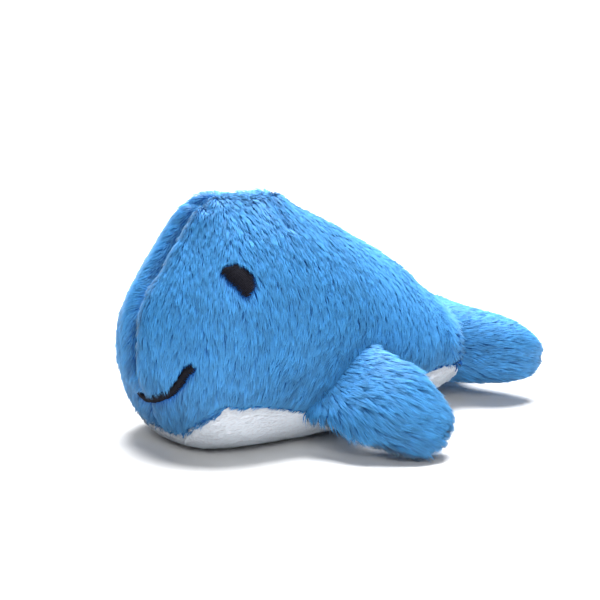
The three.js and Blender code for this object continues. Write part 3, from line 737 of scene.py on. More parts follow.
def colour_group(name, sockets, build):
    """A shader node group that gives a colour or a value. sockets are (name, in or out, type)."""
    group = bpy.data.node_groups.get(name)
    if group is not None:
        return group
    group = bpy.data.node_groups.new(name, "ShaderNodeTree")
    for label, direction, kind in sockets:
        group.interface.new_socket(name=label, in_out=direction, socket_type=kind)
    build(group.nodes, group.links, group.nodes.new("NodeGroupInput"), group.nodes.new("NodeGroupOutput"))
    return group


def feed(links, sockets, values):
    """Gives each socket its value, which is another socket or a constant."""
    for socket, value in zip(sockets, values):
        if hasattr(value, "is_linked"):
            links.new(value, socket)
        else:
            socket.default_value = value


def mixed(nodes, links, factor, first, second):
    """A Mix node for two colours."""
    node = nodes.new("ShaderNodeMix")
    node.data_type = "RGBA"
    feed(links, [socket for socket in node.inputs if socket.enabled], (factor, first, second))
    return next(socket for socket in node.outputs if socket.enabled)


def calculated(nodes, links, operation, first, second):
    node = nodes.new("ShaderNodeMath")
    node.operation = operation
    feed(links, node.inputs, (first, second))
    return node.outputs[0]


def pile_tone_group():
    """Colour along a lock, from the lock's tone and the place along it in the map."""

    def build(nodes, links, given, result):
        place = nodes.new("ShaderNodeUVMap")
        place.uv_map = "OFBake"
        split = nodes.new("ShaderNodeSeparateXYZ")
        links.new(place.outputs["UV"], split.inputs[0])
        climb = calculated(nodes, links, "POWER", split.outputs["Y"], TIP_CLIMB)
        body = mixed(nodes, links, climb, given.outputs["Root"], given.outputs["Tip"])
        spread = calculated(nodes, links, "SUBTRACT", split.outputs["X"], MIDDLE_TONE)
        spread = calculated(nodes, links, "MULTIPLY", spread, given.outputs["Spread"])
        brightness = calculated(nodes, links, "ADD", spread, 1.0)
        scale = nodes.new("ShaderNodeVectorMath")
        scale.operation = "SCALE"
        links.new(body, scale.inputs[0])
        links.new(brightness, scale.inputs["Scale"])
        links.new(scale.outputs[0], result.inputs["Colour"])

    return colour_group("pile tone", [
        ("Root", "INPUT", "NodeSocketColor"), ("Tip", "INPUT", "NodeSocketColor"),
        ("Spread", "INPUT", "NodeSocketFloat"), ("Colour", "OUTPUT", "NodeSocketColor"),
    ], build)


def fibre_group(name, kind, settle):
    """Fine uneven colour and height on the surface's own coordinates, from one kind of texture."""

    def build(nodes, links, given, result):
        place = nodes.new("ShaderNodeTexCoord")
        texture = nodes.new(kind)
        settle(texture)
        links.new(place.outputs["Object"], texture.inputs["Vector"])
        links.new(given.outputs["Scale"], texture.inputs["Scale"])
        colours = (given.outputs["Dark"], given.outputs["Light"])
        links.new(mixed(nodes, links, texture.outputs["Fac"], *colours), result.inputs["Colour"])
        links.new(texture.outputs["Fac"], result.inputs["Height"])

    return colour_group(name, [
        ("Dark", "INPUT", "NodeSocketColor"), ("Light", "INPUT", "NodeSocketColor"),
        ("Scale", "INPUT", "NodeSocketFloat"), ("Colour", "OUTPUT", "NodeSocketColor"),
        ("Height", "OUTPUT", "NodeSocketFloat"),
    ], build)


def mottle_group():
    """Soft blotches of felted or woven fibres."""

    def settle(noise):
        noise.inputs["Detail"].default_value = NOISE_DETAIL

    return fibre_group("mottle", "ShaderNodeTexNoise", settle)


def twist_group():
    """Slanted plies of a spun thread."""

    def settle(wave):
        wave.bands_direction = "DIAGONAL"
        wave.inputs["Distortion"].default_value = THREAD_DISTORTION

    return fibre_group("thread twist", "ShaderNodeTexWave", settle)


def new_material(name, roughness, sheen, tint, specular):
    material = bpy.data.materials.new(name)
    material.use_nodes = True
    shader = material.node_tree.nodes["Principled BSDF"]
    shader.inputs["Roughness"].default_value = roughness
    shader.inputs["Sheen Weight"].default_value = sheen
    shader.inputs["Sheen Roughness"].default_value = SHEEN_ROUGHNESS
    shader.inputs["Sheen Tint"].default_value = (*tint, 1)
    shader.inputs["Specular IOR Level"].default_value = specular
    return material, material.node_tree.nodes, material.node_tree.links, shader


def placed_group(nodes, group, values):
    """A group in a material, with its own values. Colours come as three numbers."""
    node = nodes.new("ShaderNodeGroup")
    node.node_tree = group
    for label, value in values.items():
        node.inputs[label].default_value = (*value, 1) if isinstance(value, tuple) else value
    return node


def pile_material(name, root, tip, spread, sheen):
    material, nodes, links, shader = new_material(name, PILE_ROUGHNESS, sheen, PILE_SHEEN_TINT, PILE_SPECULAR)
    tone = placed_group(nodes, pile_tone_group(), {"Root": tuple(root), "Tip": tuple(tip), "Spread": spread})
    links.new(tone.outputs["Colour"], shader.inputs["Base Color"])
    return material


def fibrous_material(name, dark, light, scale, bump, group, roughness, specular):
    material, nodes, links, shader = new_material(name, roughness, 0.0, light, specular)
    fibres = placed_group(nodes, group(), {"Dark": tuple(dark), "Light": tuple(light), "Scale": scale})
    links.new(fibres.outputs["Colour"], shader.inputs["Base Color"])
    relief = nodes.new("ShaderNodeBump")
    relief.inputs["Strength"].default_value = RELIEF_STRENGTH
    relief.inputs["Distance"].default_value = bump
    links.new(fibres.outputs["Height"], relief.inputs["Height"])
    links.new(relief.outputs["Normal"], shader.inputs["Normal"])
    return material


def cloth_material(name):
    return fibrous_material(name, *CLOTHS[name], mottle_group, CLOTH_ROUGHNESS, CLOTH_SPECULAR)


def thread_material(name, dark):
    light, roughness = THREADS[name]
    return fibrous_material(
        name, dark, light, THREAD_SCALE, THREAD_RELIEF, twist_group, roughness, THREAD_SPECULAR)


def dress(obj, material):
    obj.data.materials.clear()
    obj.data.materials.append(material)


# Body

# Darts that shape the forehead, from the back seam down each side, in metres on the left side
FOREHEAD_DART = tuple(Vector(place) * MM for place in (
    (0.7, -3.2, 66.3), (5.3, -4.3, 65.3), (8.7, -4.7, 63.7), (11.3, -4.5, 61.9), (13.4, -4.1, 60.3)))
BROW_DART = tuple(Vector(place) * MM for place in ((1.6, -22.3, 66.2), (3.6, -23.0, 65.0)))
DART_POINTS = 12
# Corners of the head on the back seam: place, height and reach
HEAD_CORNERS = (
    (Vector((0, -19, 66.5)) * MM, 2.3 * MM, 6.5 * MM),
    (Vector((0, -2, 66)) * MM, 2.0 * MM, 5.5 * MM),
)
RIM_Y = 49.5 * MM
RIM_REACH = 3 * MM
CHIN_Y = -33 * MM
# How far the belly's faces under the chin look up, or back, before they are taken away or changed
TURNED = 0.1
# The pile of each side is made in three pieces, cut across at these places
PILE_CUTS = (-14 * MM, 16 * MM)

# Reaches of the body: where each begins, and the distance over which it comes in, negative towards the
# nose or the floor. Those in metres are marked with MM, and the others are in millimetres.
FACE_DRIFT = (-20 * MM, -8 * MM)
DRIFT_REACH = 7 * MM
LEAST_DRIFT = 0.01
BELLY_FRONT = (-26, -6)
FOREHEAD_SEAM = (43, 5)
NOSE_SEAM_FOOT, NOSE_SEAM_TOP = (19, 4), (39, -4)
FACE_SEAM = (-14, -6)
SHOULDER_END, SHOULDER_FOOT = (4, -8), (14, 10)
REAR_NAP, RIM_NAP = (26, 16), (47, 5)
FLANK_TOP, FLANK_FRONT = (48, -26), (-28, 20)
PARTING_START = (-12, -8)
CHIN_TOP, CHIN_BACK = (15 * MM, -7 * MM), (-20 * MM, -9 * MM)
TAIL_NECK_START, TAIL_NECK_END = (40 * MM, 5 * MM), (50 * MM, -3 * MM)
# Where the painted shade low on the body and the painted light on the rear flank come in
LOW_SHADE_REACH, REAR_LIGHT_START, REAR_LIGHT_FOOT = (30, -16), (12, 20), (16, 10)

# How far the white belly is raised under the chin
CHIN_RISE = 2.8 * MM
# Points as low as this stay where they are while the cover is inflated
RESTING_HEIGHT = 0.6 * MM
BODY_FLOOR_ROOM = 0.35 * MM
# Share of the seam's depth that the centre seam always has, and that of the other seams
LEAST_SEAM = 0.18
BELLY_SEAM_SHARE, DART_SHARE, FIN_SEAM_SHARE = 0.4, 0.6, 0.5
# Distance from the centre seam at which a shoulder starts, and at which it ends, in millimetres
SHOULDER_INSIDE, SHOULDER_OUTSIDE = 2.2, 11
LUMP_WAVE, LUMPS_ABOVE = 24 * MM, 4 * MM

# The way the pile of a side lies: outwards, forwards and down
OUTWARDS, OUTWARDS_ON_TOP = 0.12, 0.6
FORWARDS, FORWARDS_ON_FLANK, FORWARDS_AT_REAR = 0.2, 0.6, 0.35
REARWARDS_AT_RIM, DOWNWARDS = 1.6, -0.9
PARTING, PARTING_WIDTH = 0.9, 5 * MM
BESIDE_BELLY, BESIDE_BELLY_WIDTH = 0.85, 5 * MM
BELLY_EDGE_WAY = np.array([0.0, -1.0, -0.25])
WHITE_WAY = [0.2, -1.0, 0.1]

# Length of the pile near a seam: the share at the seam, the share that it gains, and over which distance
DART_LENGTH = (0.5, 0.5, 1.8 * MM)
BELLY_EDGE_LENGTH = (0.38, 0.62, 4.5 * MM)
FIN_EDGE_LENGTH = (0.5, 0.5, 3 * MM)
WHITE_EDGE_LENGTH = (0.2, 0.8, 2 * MM)
# Length lost at the centre seam, where it is shallow and where it is deep, and where it is back
SEAM_LOSS, DEEP_SEAM_LOSS = 0.1, 0.74
SEAM_LENGTH_START, SEAM_LENGTH_WIDTH = 0.5 * MM, 3.0 * MM
TAIL_NECK_LOSS, CORNER_LOSS, CHIN_GAIN = 0.35, 0.25, 0.1

# Painted shade: darker pile in the seams, the darts and low on the body. Painted light: lighter pile on the
# rear flank
DEEP_SEAM = (0.4, 0.6)
SEAM_SHADE, DART_SHADE = 0.6, 0.45
SEAM_SHADE_REACH, DART_SHADE_REACH = 2.6 * MM, 1.3 * MM
LOW_SHADE, REAR_LIGHT = 0.3, 0.6


def dart_points(side):
    points = []
    for line in (FOREHEAD_DART, BROW_DART):
        for start, end in zip(line, line[1:]):
            for share in np.linspace(0, 1, DART_POINTS):
                point = start.lerp(end, share)
                points.append(Vector((side * point.x, point.y, point.z)))
    return points


def drift_seam(mesh, drift):
    """Lets the face seam stray to one side, on the surface where it is."""
    tree = tree_of(mesh)
    rows = coordinates(mesh)
    face = ramp(rows[:, 1], *FACE_DRIFT) * falloff(rows[:, 0], DRIFT_REACH)
    for index in np.nonzero(face > LEAST_DRIFT)[0]:
        point = Vector(rows[index]) - Vector((drift * face[index], 0, 0))
        rows[index] = tree.find_nearest(point)[0]
    set_coordinates(mesh, rows)


def close_chin(mesh):
    """Closes the slit at the front of the belly seam with cloth of the two sides."""

    def side_of(face):
        return LEFT if face.calc_center_median().x > 0 else RIGHT

    with opened(mesh) as mesh_tool:
        front = [face for face in mesh_tool.faces
                 if face.material_index == BELLY and face.calc_center_median().y < CHIN_Y]
        turned = [face for face in front if face.normal.z > -TURNED]
        for face in front:
            if face.normal.y > TURNED:
                face.material_index = side_of(face)
        bmesh.ops.delete(mesh_tool, geom=turned, context="FACES")
        edges = [edge for edge in mesh_tool.edges if edge.is_boundary and edge.verts[0].co.y < 0]
        filled = bmesh.ops.holes_fill(mesh_tool, edges=edges, sides=len(edges))["faces"]
        for face in bmesh.ops.triangulate(mesh_tool, faces=filled)["faces"]:
            face.material_index = side_of(face)
        bmesh.ops.recalc_face_normals(mesh_tool, faces=mesh_tool.faces)


def seam_line(mesh, *pairs):
    """The points of the seams between some pairs of plies."""
    return [mesh.vertices[k].co for pair in pairs for k in seam_vertices(mesh, pair)]


def widen_belly(mesh):
    """Raises the front of the white belly, so that a band of it shows under the chin."""
    line = points_tree(seam_line(mesh, (LEFT, BELLY), (RIGHT, BELLY)))
    for polygon in mesh.polygons:
        rise = CHIN_RISE * ramp(polygon.center.y / MM, *BELLY_FRONT)
        if rise > 0 and line.find(polygon.center)[2] < rise:
            polygon.material_index = BELLY


def make_body_form(cover):
    form = sewn_form("body_form", BODY_PANELS, "body_filling", BELLY)
    close_chin(form.data)
    subdivide(form, 1)
    sewn = seam_vertices(form.data)
    low = [k for k, row in enumerate(coordinates(form.data)) if row[2] < RESTING_HEIGHT]
    puff_up(form, {*sewn, *open_vertices(form.data), *low}, cover.puff)
    relax(form.data, 2, keep=open_vertices(form.data))
    drift_seam(form.data, cover.seam_drift)
    subdivide(form, 2)
    widen_belly(form.data)
    return form


def seam_strength(points):
    """How deep the centre seam is drawn in: most on the forehead and beside the nose."""
    y, z = points[:, 1] / MM, points[:, 2] / MM
    forehead = ramp(z, *FOREHEAD_SEAM)
    nose = ramp(z, *NOSE_SEAM_FOOT) * ramp(z, *NOSE_SEAM_TOP)
    return LEAST_SEAM + ramp(y, *FACE_SEAM) * np.maximum(forehead, nose)


def swell_shoulders(mesh, height):
    """Rounds the head out on both sides of the centre seam."""
    rows, normals = coordinates(mesh), vertex_normals(mesh)
    away = distances(points_tree(seam_line(mesh, (LEFT, RIGHT))), rows) / MM
    head = ramp(rows[:, 1] / MM, *SHOULDER_END) * ramp(rows[:, 2] / MM, *SHOULDER_FOOT)
    push = height * head * (1 - falloff(away, SHOULDER_INSIDE)) * falloff(away, SHOULDER_OUTSIDE)
    set_coordinates(mesh, rows + normals * push[:, None])


def settle_body_skin(form, cover):
    """Sinks the cloth under the pile, shapes the head's corners and the rim, and draws in seams and darts."""
    mesh = form.data
    rows, normals = coordinates(mesh), vertex_normals(mesh)
    belly = np.zeros(len(rows))
    for polygon in mesh.polygons:
        if polygon.material_index == BELLY:
            belly[list(polygon.vertices)] = 1
    depth = np.where(belly > 0, cover.belly_depth, cover.pile_depth)
    lumps = ripple(rows, LUMP_WAVE, 7) * cover.unevenness * (rows[:, 2] > LUMPS_ABOVE)
    rim = cover.rim_height * falloff(rows[:, 1] - RIM_Y, RIM_REACH) * (belly == 0)
    set_coordinates(mesh, rows + normals * (lumps + rim - depth)[:, None])
    for place, height, reach in HEAD_CORNERS:
        swell(mesh, place, height, reach)
    swell_shoulders(mesh, cover.shoulder_height)
    relax(mesh, 2, keep=open_vertices(mesh))
    surface = tree_of(mesh)
    centre = np.array(seam_line(mesh, (LEFT, RIGHT)))
    sides = np.array(seam_line(mesh, (LEFT, BELLY), (RIGHT, BELLY)))
    places = [point for side in SIDES.values() for point in dart_points(side)]
    darts = np.array([surface.find_nearest(point)[0] for point in places])
    fins = np.concatenate([coordinates(NODES[f"{side}_fin_seam_thread"].data) for side in SIDES])
    for seam, share in ((centre, seam_strength(centre)), (sides, BELLY_SEAM_SHARE),
                        (darts, DART_SHARE), (fins, FIN_SEAM_SHARE)):
        press_in(mesh, seam, cover.seam_depth * share, cover.seam_width)
    keep_above_floor(mesh, BODY_FLOOR_ROOM)
    return centre, sides, darts, fins


def body_nap(sign, centre_seam, belly_seam):
    """The way the pile of one side lies: down the side, swept forwards low on the flank and near the tail."""

    def nap(roots, normals):
        y, z = roots[:, 1] / MM, roots[:, 2] / MM
        rear, end = ramp(y, *REAR_NAP), ramp(y, *RIM_NAP)
        flank = ramp(z, *FLANK_TOP) * ramp(y, *FLANK_FRONT) * (1 - rear)
        beside = PARTING * (1 - ease(distances(centre_seam, roots) / PARTING_WIDTH)) * ramp(y, *PARTING_START)
        outward = sign * (OUTWARDS + beside + OUTWARDS_ON_TOP * np.maximum(normals[:, 2], 0))
        forwards = (FORWARDS + FORWARDS_ON_FLANK * flank + FORWARDS_AT_REAR * rear) * (1 - end)
        down = np.full(len(roots), DOWNWARDS)
        ways = np.stack([outward, REARWARDS_AT_RIM * end - forwards, down], axis=1)
        along = BESIDE_BELLY * (1 - ease(distances(belly_seam, roots) / BESIDE_BELLY_WIDTH)) * (1 - end)
        return ways * (1 - along[:, None]) + BELLY_EDGE_WAY * along[:, None]

    return nap


def chin_roughness(roots):
    """Where the pile under the mouth is tousled."""
    return ramp(roots[:, 2], *CHIN_TOP) * ramp(roots[:, 1], *CHIN_BACK)


def length_beside(seam, roots, least, gained, width):
    """The share of the pile's length that is left beside a seam."""
    return least + gained * ease(distances(seam, roots) / width)


def make_body(pile, cover, materials, embroidery):
    form = make_body_form(cover)
    seams = settle_body_skin(form, cover)
    strength = seam_strength(seams[0])
    centre_seam, belly_seam, darts, fin_seams = (points_tree(points) for points in seams)
    blue, white, blue_skin, white_skin = materials

    def centre_seam_at(roots):
        """How far away the centre seam is, and how deep it is there."""
        found = [centre_seam.find(root) for root in roots]
        return np.array([hit[2] for hit in found]), strength[[hit[1] for hit in found]]

    def blue_length(roots, normals):
        away, drawn = centre_seam_at(roots)
        back = 1 - ease((away - SEAM_LENGTH_START) / SEAM_LENGTH_WIDTH)
        lengths = pile.body_length * (1 - (SEAM_LOSS + DEEP_SEAM_LOSS * drawn) * back)
        edges = ((darts, DART_LENGTH), (belly_seam, BELLY_EDGE_LENGTH), (fin_seams, FIN_EDGE_LENGTH))
        for seam, rest in edges:
            lengths *= length_beside(seam, roots, *rest)
        y = roots[:, 1]
        lengths *= 1 - TAIL_NECK_LOSS * ramp(y, *TAIL_NECK_START) * ramp(y, *TAIL_NECK_END)
        for place, _, reach in HEAD_CORNERS:
            away = np.linalg.norm(roots - np.array(place), axis=1)
            lengths *= 1 - CORNER_LOSS * falloff(away, reach)
        return lengths * (1 + CHIN_GAIN * chin_roughness(roots))

    def white_length(roots, normals):
        return pile.belly_length * length_beside(belly_seam, roots, *WHITE_EDGE_LENGTH)

    # Painted shade in the centre seam, the darts and low on the body, less the painted light on the rear
    # flank
    def shade(roots):
        away, drawn = centre_seam_at(roots)
        seam = ramp(drawn, *DEEP_SEAM) * falloff(away, SEAM_SHADE_REACH)
        dart = DART_SHADE * falloff(distances(darts, roots), DART_SHADE_REACH)
        y, z = roots[:, 1] / MM, roots[:, 2] / MM
        low = LOW_SHADE * ramp(z, *LOW_SHADE_REACH)
        rear = REAR_LIGHT * ramp(y, *REAR_LIGHT_START) * ramp(z, *REAR_LIGHT_FOOT)
        return SEAM_SHADE * np.maximum(seam, dart) + low - rear

    def white_nap(roots, normals):
        return np.tile(WHITE_WAY, (len(roots), 1))

    def finish(piece, material):
        dress(piece, material)
        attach(piece, "body")

    for (side, sign), ply in zip(SIDES.items(), (LEFT, RIGHT)):
        skin = cloth_of(form, f"{side}_side_cloth", [ply], cover.cloth_thickness)
        finish(skin, blue_skin)
        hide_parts(f"{side}_side_panel")
        locks = lock_lines(
            form, [ply], body_nap(sign, centre_seam, belly_seam), blue_length, pile, 11 + ply,
            rough=chin_roughness, shade=shade, off=embroidery)
        places = np.digitize(locks["starts"][:, 1], PILE_CUTS)
        for number, part in enumerate(("face", "flank", "rear")):
            finish(pile_object(f"{side}_{part}_pile", locks, places == number), blue)
    skin = cloth_of(form, "belly_cloth", [BELLY], cover.cloth_thickness)
    finish(skin, white_skin)
    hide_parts("belly_panel")
    locks = lock_lines(
        form, [BELLY], white_nap, white_length, pile, 31, spacing=1.45, width=1.7, lean=0.9, clump=0.05)
    finish(pile_object("belly_pile", locks, roundness=WHITE_ROUNDNESS), white)
    return form


# Fins and tail: two plies sewn at their edge, with one closed cover and its pile each

# The turned-in hem that carries a limb's cover into the body
HEM_ROWS = 6
HEM_FLARE = 0.02
HEM_LENGTH = 7 * MM

LIMB_SEAM_SHARE = 0.12
LIMB_FLOOR_ROOM = 0.5 * MM

# Where the covers are cut off square, from the hinge outwards, and which way their hems go on
FIN_TRIM = 3.4 * MM
TAIL_TRIM = -3 * MM
FIN_HEM_WAY = Vector((1, -0.1, 0.1))
TAIL_HEM = Vector((0, -5 * MM, 0))

# A fin's pile spreads from a point behind the hinge, which is nearer at the fin's front. There it also
# droops, and is longer near the root.
FAN_WIDTH = 10 * MM
FAN_SOURCE, FAN_PULL = 40, 26
FAN_WAY, FAN_WAY_FRONT, FAN_OUTWARDS = 0.5, 0.4, 0.5
FAN_DROOP = np.array([0.0, 0.0, 0.4])
FAN_GAIN, FAN_GAIN_END = 0.45, (4 * MM, 14 * MM)
# Length of the pile: the share at the root or the edge, the share that it gains, and where
FIN_ROOT_LENGTH, FIN_ROOT_GAIN, FIN_ROOT_REACH = 0.65, 0.35, (-1 * MM, 6 * MM)
FIN_RIM_LENGTH = (0.85, 0.15, 2 * MM)
TAIL_RIM_LENGTH = (0.8, 0.2, 2 * MM)
# Painted shade: a fin's pile is painted darker all over, and darker still on its underside
FIN_SHADE, FIN_UNDERSIDE_SHADE, FIN_UNDERSIDE_REACH = 0.16, 0.1, -9 * MM

# The tail's pile spreads from a point in front of the hinge
TAIL_DEPTH_SHARE = 0.2
TAIL_SOURCE = Vector((0, 12 * MM, 0))
TAIL_WAY = np.array([0.0, 0.2, -0.12])
TAIL_TIP_LOSS, TAIL_TIP = 0.4, (70 * MM, 6 * MM)
TAIL_BARE = 3 * MM
# Painted shade: the tail's pile is painted a little darker all over
TAIL_SHADE = 0.12


def stuffed_limb(name, plies, cover, depth, root, inward):
    """The cover of a fin or the tail, drawn in along the seam of its two plies, with a hem at its root."""
    form = sewn_form(f"{name}_form", plies, f"{name}_filling")
    with opened(form.data) as mesh_tool:
        parts = [*mesh_tool.verts, *mesh_tool.edges, *mesh_tool.faces]
        bmesh.ops.bisect_plane(mesh_tool, geom=parts, plane_co=root, plane_no=inward, clear_outer=True)
    subdivide(form, 1)
    sewn = seam_vertices(form.data)
    puff_up(form, {*sewn, *open_vertices(form.data)}, cover.puff)
    relax(form.data, 1, keep=open_vertices(form.data))
    subdivide(form, 2)
    mesh = form.data
    set_coordinates(mesh, coordinates(mesh) - vertex_normals(mesh) * depth)
    relax(mesh, 4, keep=open_vertices(mesh))
    seam = [mesh.vertices[k].co.copy() for k in seam_vertices(mesh)]
    press_in(mesh, seam, cover.seam_depth * LIMB_SEAM_SHARE, cover.seam_width)
    keep_above_floor(mesh, LIMB_FLOOR_ROOM)
    add_hem(mesh, inward)
    return form, points_tree(seam)


def add_hem(mesh, inward):
    """Carries the cover on past its open root, a little wider row by row."""
    with opened(mesh) as mesh_tool:
        for _ in range(HEM_ROWS):
            moved = {}
            rim = [edge.link_loops[0] for edge in mesh_tool.edges if edge.is_boundary]
            sides = [(loop.vert, loop.link_loop_next.vert, loop.face.material_index) for loop in rim]
            middle = sum((first.co for first, _, _ in sides), Vector()) / len(sides)
            for first, second, ply in sides:
                for corner in (first, second):
                    if corner not in moved:
                        place = corner.co + inward / HEM_ROWS + (corner.co - middle) * HEM_FLARE
                        moved[corner] = mesh_tool.verts.new(place)
                face = mesh_tool.faces.new((second, first, moved[first], moved[second]))
                face.material_index = ply


def cover_limb(name, form, plies, locks, cover, materials):
    """The cloth and the pile of a fin or the tail."""
    blue, blue_skin = materials
    skin = cloth_of(form, f"{name}_cloth", [0, 1], cover.cloth_thickness)
    fur = pile_object(f"{name}_pile", locks)
    for piece, material in ((skin, blue_skin), (fur, blue)):
        dress(piece, material)
        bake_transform(piece)
    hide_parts(*plies)
    bpy.data.objects.remove(form)


def fin_rules(pile, hinge, reach, front, rim):
    """The way, the length and the shade of a fin's pile."""
    place, outwards, forwards = np.array(hinge), np.array(reach), np.array(front)

    def fan_at(roots):
        return ease(((roots - place) @ forwards) / FAN_WIDTH)

    def nap(roots, normals):
        fan = fan_at(roots)[:, None]
        spread = unit(roots - place + outwards * (FAN_SOURCE - FAN_PULL * fan) * MM)
        ways = spread * (FAN_WAY + FAN_WAY_FRONT * fan) + outwards * FAN_OUTWARDS * (1 - fan)
        return ways - FAN_DROOP * fan

    def length(roots, normals):
        out = (roots - place) @ outwards
        lengths = pile.fin_length * (FIN_ROOT_LENGTH + FIN_ROOT_GAIN * ramp(out, *FIN_ROOT_REACH))
        lengths *= 1 + FAN_GAIN * fan_at(roots) * (1 - ramp(out, *FAN_GAIN_END))
        return lengths * length_beside(rim, roots, *FIN_RIM_LENGTH)

    def shade(roots):
        return FIN_SHADE + FIN_UNDERSIDE_SHADE * ramp(roots[:, 2], hinge.z, FIN_UNDERSIDE_REACH)

    return nap, length, shade


def make_fins(pile, cover, materials):
    for side, sign in SIDES.items():
        name = f"{side}_fin"
        hinge, axis = HINGES[name], AXES[name]
        low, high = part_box(f"{name}_filling")
        reach = ((low + high) / 2 - hinge).normalized()
        square = (reach - axis * reach.dot(axis)).normalized()
        plies = (f"{name}_upper_panel", f"{name}_lower_panel")
        hem = FIN_HEM_WAY * Vector((-sign, 1, 1)) * HEM_LENGTH
        form, rim = stuffed_limb(name, plies, cover, cover.pile_depth, hinge + square * FIN_TRIM, hem)
        nap, length, shade = fin_rules(pile, hinge, reach, axis * sign, rim)
        locks = lock_lines(
            form, [0, 1], nap, length, pile, 51 + int(sign), spacing=0.88, lean=0.8,
            clump=0.45, swirl=0.35, follow=0.6, shade=shade)
        cover_limb(name, form, plies, locks, cover, materials)


def make_tail(pile, cover, materials):
    hinge = HINGES["tail"]
    plies = ("tail_upper_panel", "tail_lower_panel")
    root = hinge + Vector((0, TAIL_TRIM, 0))
    form, rim = stuffed_limb("tail", plies, cover, cover.pile_depth * TAIL_DEPTH_SHARE, root, TAIL_HEM)

    def nap(roots, normals):
        return unit(roots - np.array(hinge - TAIL_SOURCE)) + TAIL_WAY

    def length(roots, normals):
        lengths = pile.tail_length * length_beside(rim, roots, *TAIL_RIM_LENGTH)
        lengths *= 1 - TAIL_TIP_LOSS * ramp(roots[:, 1], *TAIL_TIP)
        return lengths * np.where(roots[:, 1] < hinge.y - TAIL_BARE, 0.0, 1.0)

    def shade(roots):
        return TAIL_SHADE

    locks = lock_lines(
        form, [0, 1], nap, length, pile, 71, spacing=1.1, width=1.15, lean=0.9,
        clump=0.3, follow=0.8, shade=shade)
    cover_limb("tail", form, plies, locks, cover, materials)


# Threads

# Corners round a thread, and the share of its width that it has at its ends
THREAD_SIDES, ROUNDED_END = 8, 0.25
# Height from which a stitch is dropped onto the surface, in millimetres
DROP_HEIGHT = 30
# Points along a satin stitch, its width and height as shares of the setting, and the arch that it makes
SATIN_POINTS = 7
SATIN_WIDENING, SATIN_FLATTENING = 1.12, 0.95
ARCH_START, ARCH_SPAN = 0.02, 0.96


def tube_through(mesh_tool, path, ups, width, height):
    """A closed thread through the points of a path, flattened against the cloth, with rounded ends."""
    rings = []
    count = len(path)
    for k, (point, up) in enumerate(zip(path, ups)):
        ahead = (path[min(k + 1, count - 1)] - path[max(k - 1, 0)]).normalized()
        side = ahead.cross(up).normalized()
        crest = side.cross(ahead)
        share = max(ROUNDED_END, math.sqrt(math.sin(math.pi * (k + 0.5) / count)))
        ring = []
        for turn in range(THREAD_SIDES):
            angle = 2 * math.pi * turn / THREAD_SIDES
            offset = side * (math.cos(angle) * width / 2) + crest * (math.sin(angle) * height / 2)
            ring.append(mesh_tool.verts.new(point + offset * share))
        rings.append(ring)
    for first, second in zip(rings, rings[1:]):
        for k in range(THREAD_SIDES):
            follow = (k + 1) % THREAD_SIDES
            mesh_tool.faces.new((first[k], first[follow], second[follow], second[k]))
    mesh_tool.faces.new(rings[0][::-1])
    mesh_tool.faces.new(rings[-1])


def finished_threads(name, mesh_tool):
    bmesh.ops.recalc_face_normals(mesh_tool, faces=mesh_tool.faces)
    made = new_object(name, mesh_from(mesh_tool, name))
    shade_smooth(made)
    return made


def dropped(tree, point, direction):
    """Where a point lands on the surface when it moves along a direction, with the normal there."""
    place, normal, _, _ = tree.ray_cast(point - direction * DROP_HEIGHT * MM, direction)
    if place is None:
        place, normal, _, _ = tree.find_nearest(point)
    return place, (normal if normal.dot(direction) < 0 else -normal)


def satin_stitch(mesh_tool, tree, start, end, direction, stitch, sunk=0.0):
    """One stitch laid into the surface from start to end, highest in its middle."""
    path, ups = [], []
    for share in np.linspace(0, 1, SATIN_POINTS):
        place, normal = dropped(tree, start.lerp(end, share), direction)
        arch = math.sqrt(math.sin(math.pi * (ARCH_START + ARCH_SPAN * share)))
        path.append(place - normal * (stitch.satin_depth + sunk + stitch.satin_dip * (1 - arch)))
        ups.append(normal)
    width = stitch.satin_width
    tube_through(mesh_tool, path, ups, width * SATIN_WIDENING, width * SATIN_FLATTENING)


# The left eye is a half moon: its straight side starts at the corner and ends at the tip
EYE_CORNER = Vector((17.7, -28.3, 51.0)) * MM
EYE_TIP = Vector((23.8, -24.8, 45.4)) * MM
# In shares of the straight side: half the length, the height of the arch and the dip of the straight side
EYE_HALF_LENGTH = 0.555
EYE_RISE = 0.66
EYE_DIP = 0.01
# Powers that make the arch blunt
EYE_BLUNT_FRONT = 2.4
EYE_BLUNT_REAR = 2.3
EYE_DIP_END, EYE_END_RISE = 0.62, 1.5
EYE_SPACING = 0.9
EYE_SLANT = 0.3
# How far a stitch of the eye falls short of its line or passes it, in millimetres
EYE_RAGGED = (-0.25, 0.4)


def eye_span(share):
    """Where a stitch starts and ends across the half moon, both in shares of its straight side."""
    off_middle = abs(share - 0.5) / EYE_HALF_LENGTH
    bluntness = EYE_BLUNT_FRONT if share < 0.5 else EYE_BLUNT_REAR
    top = EYE_RISE * max(0.0, 1 - off_middle**bluntness) ** (1 / bluntness)
    outside = max(-share, share - 1, 0)
    bottom = -EYE_DIP * math.sin(math.pi * min(max(share / EYE_DIP_END, 0), 1)) + outside * EYE_END_RISE
    return bottom, top


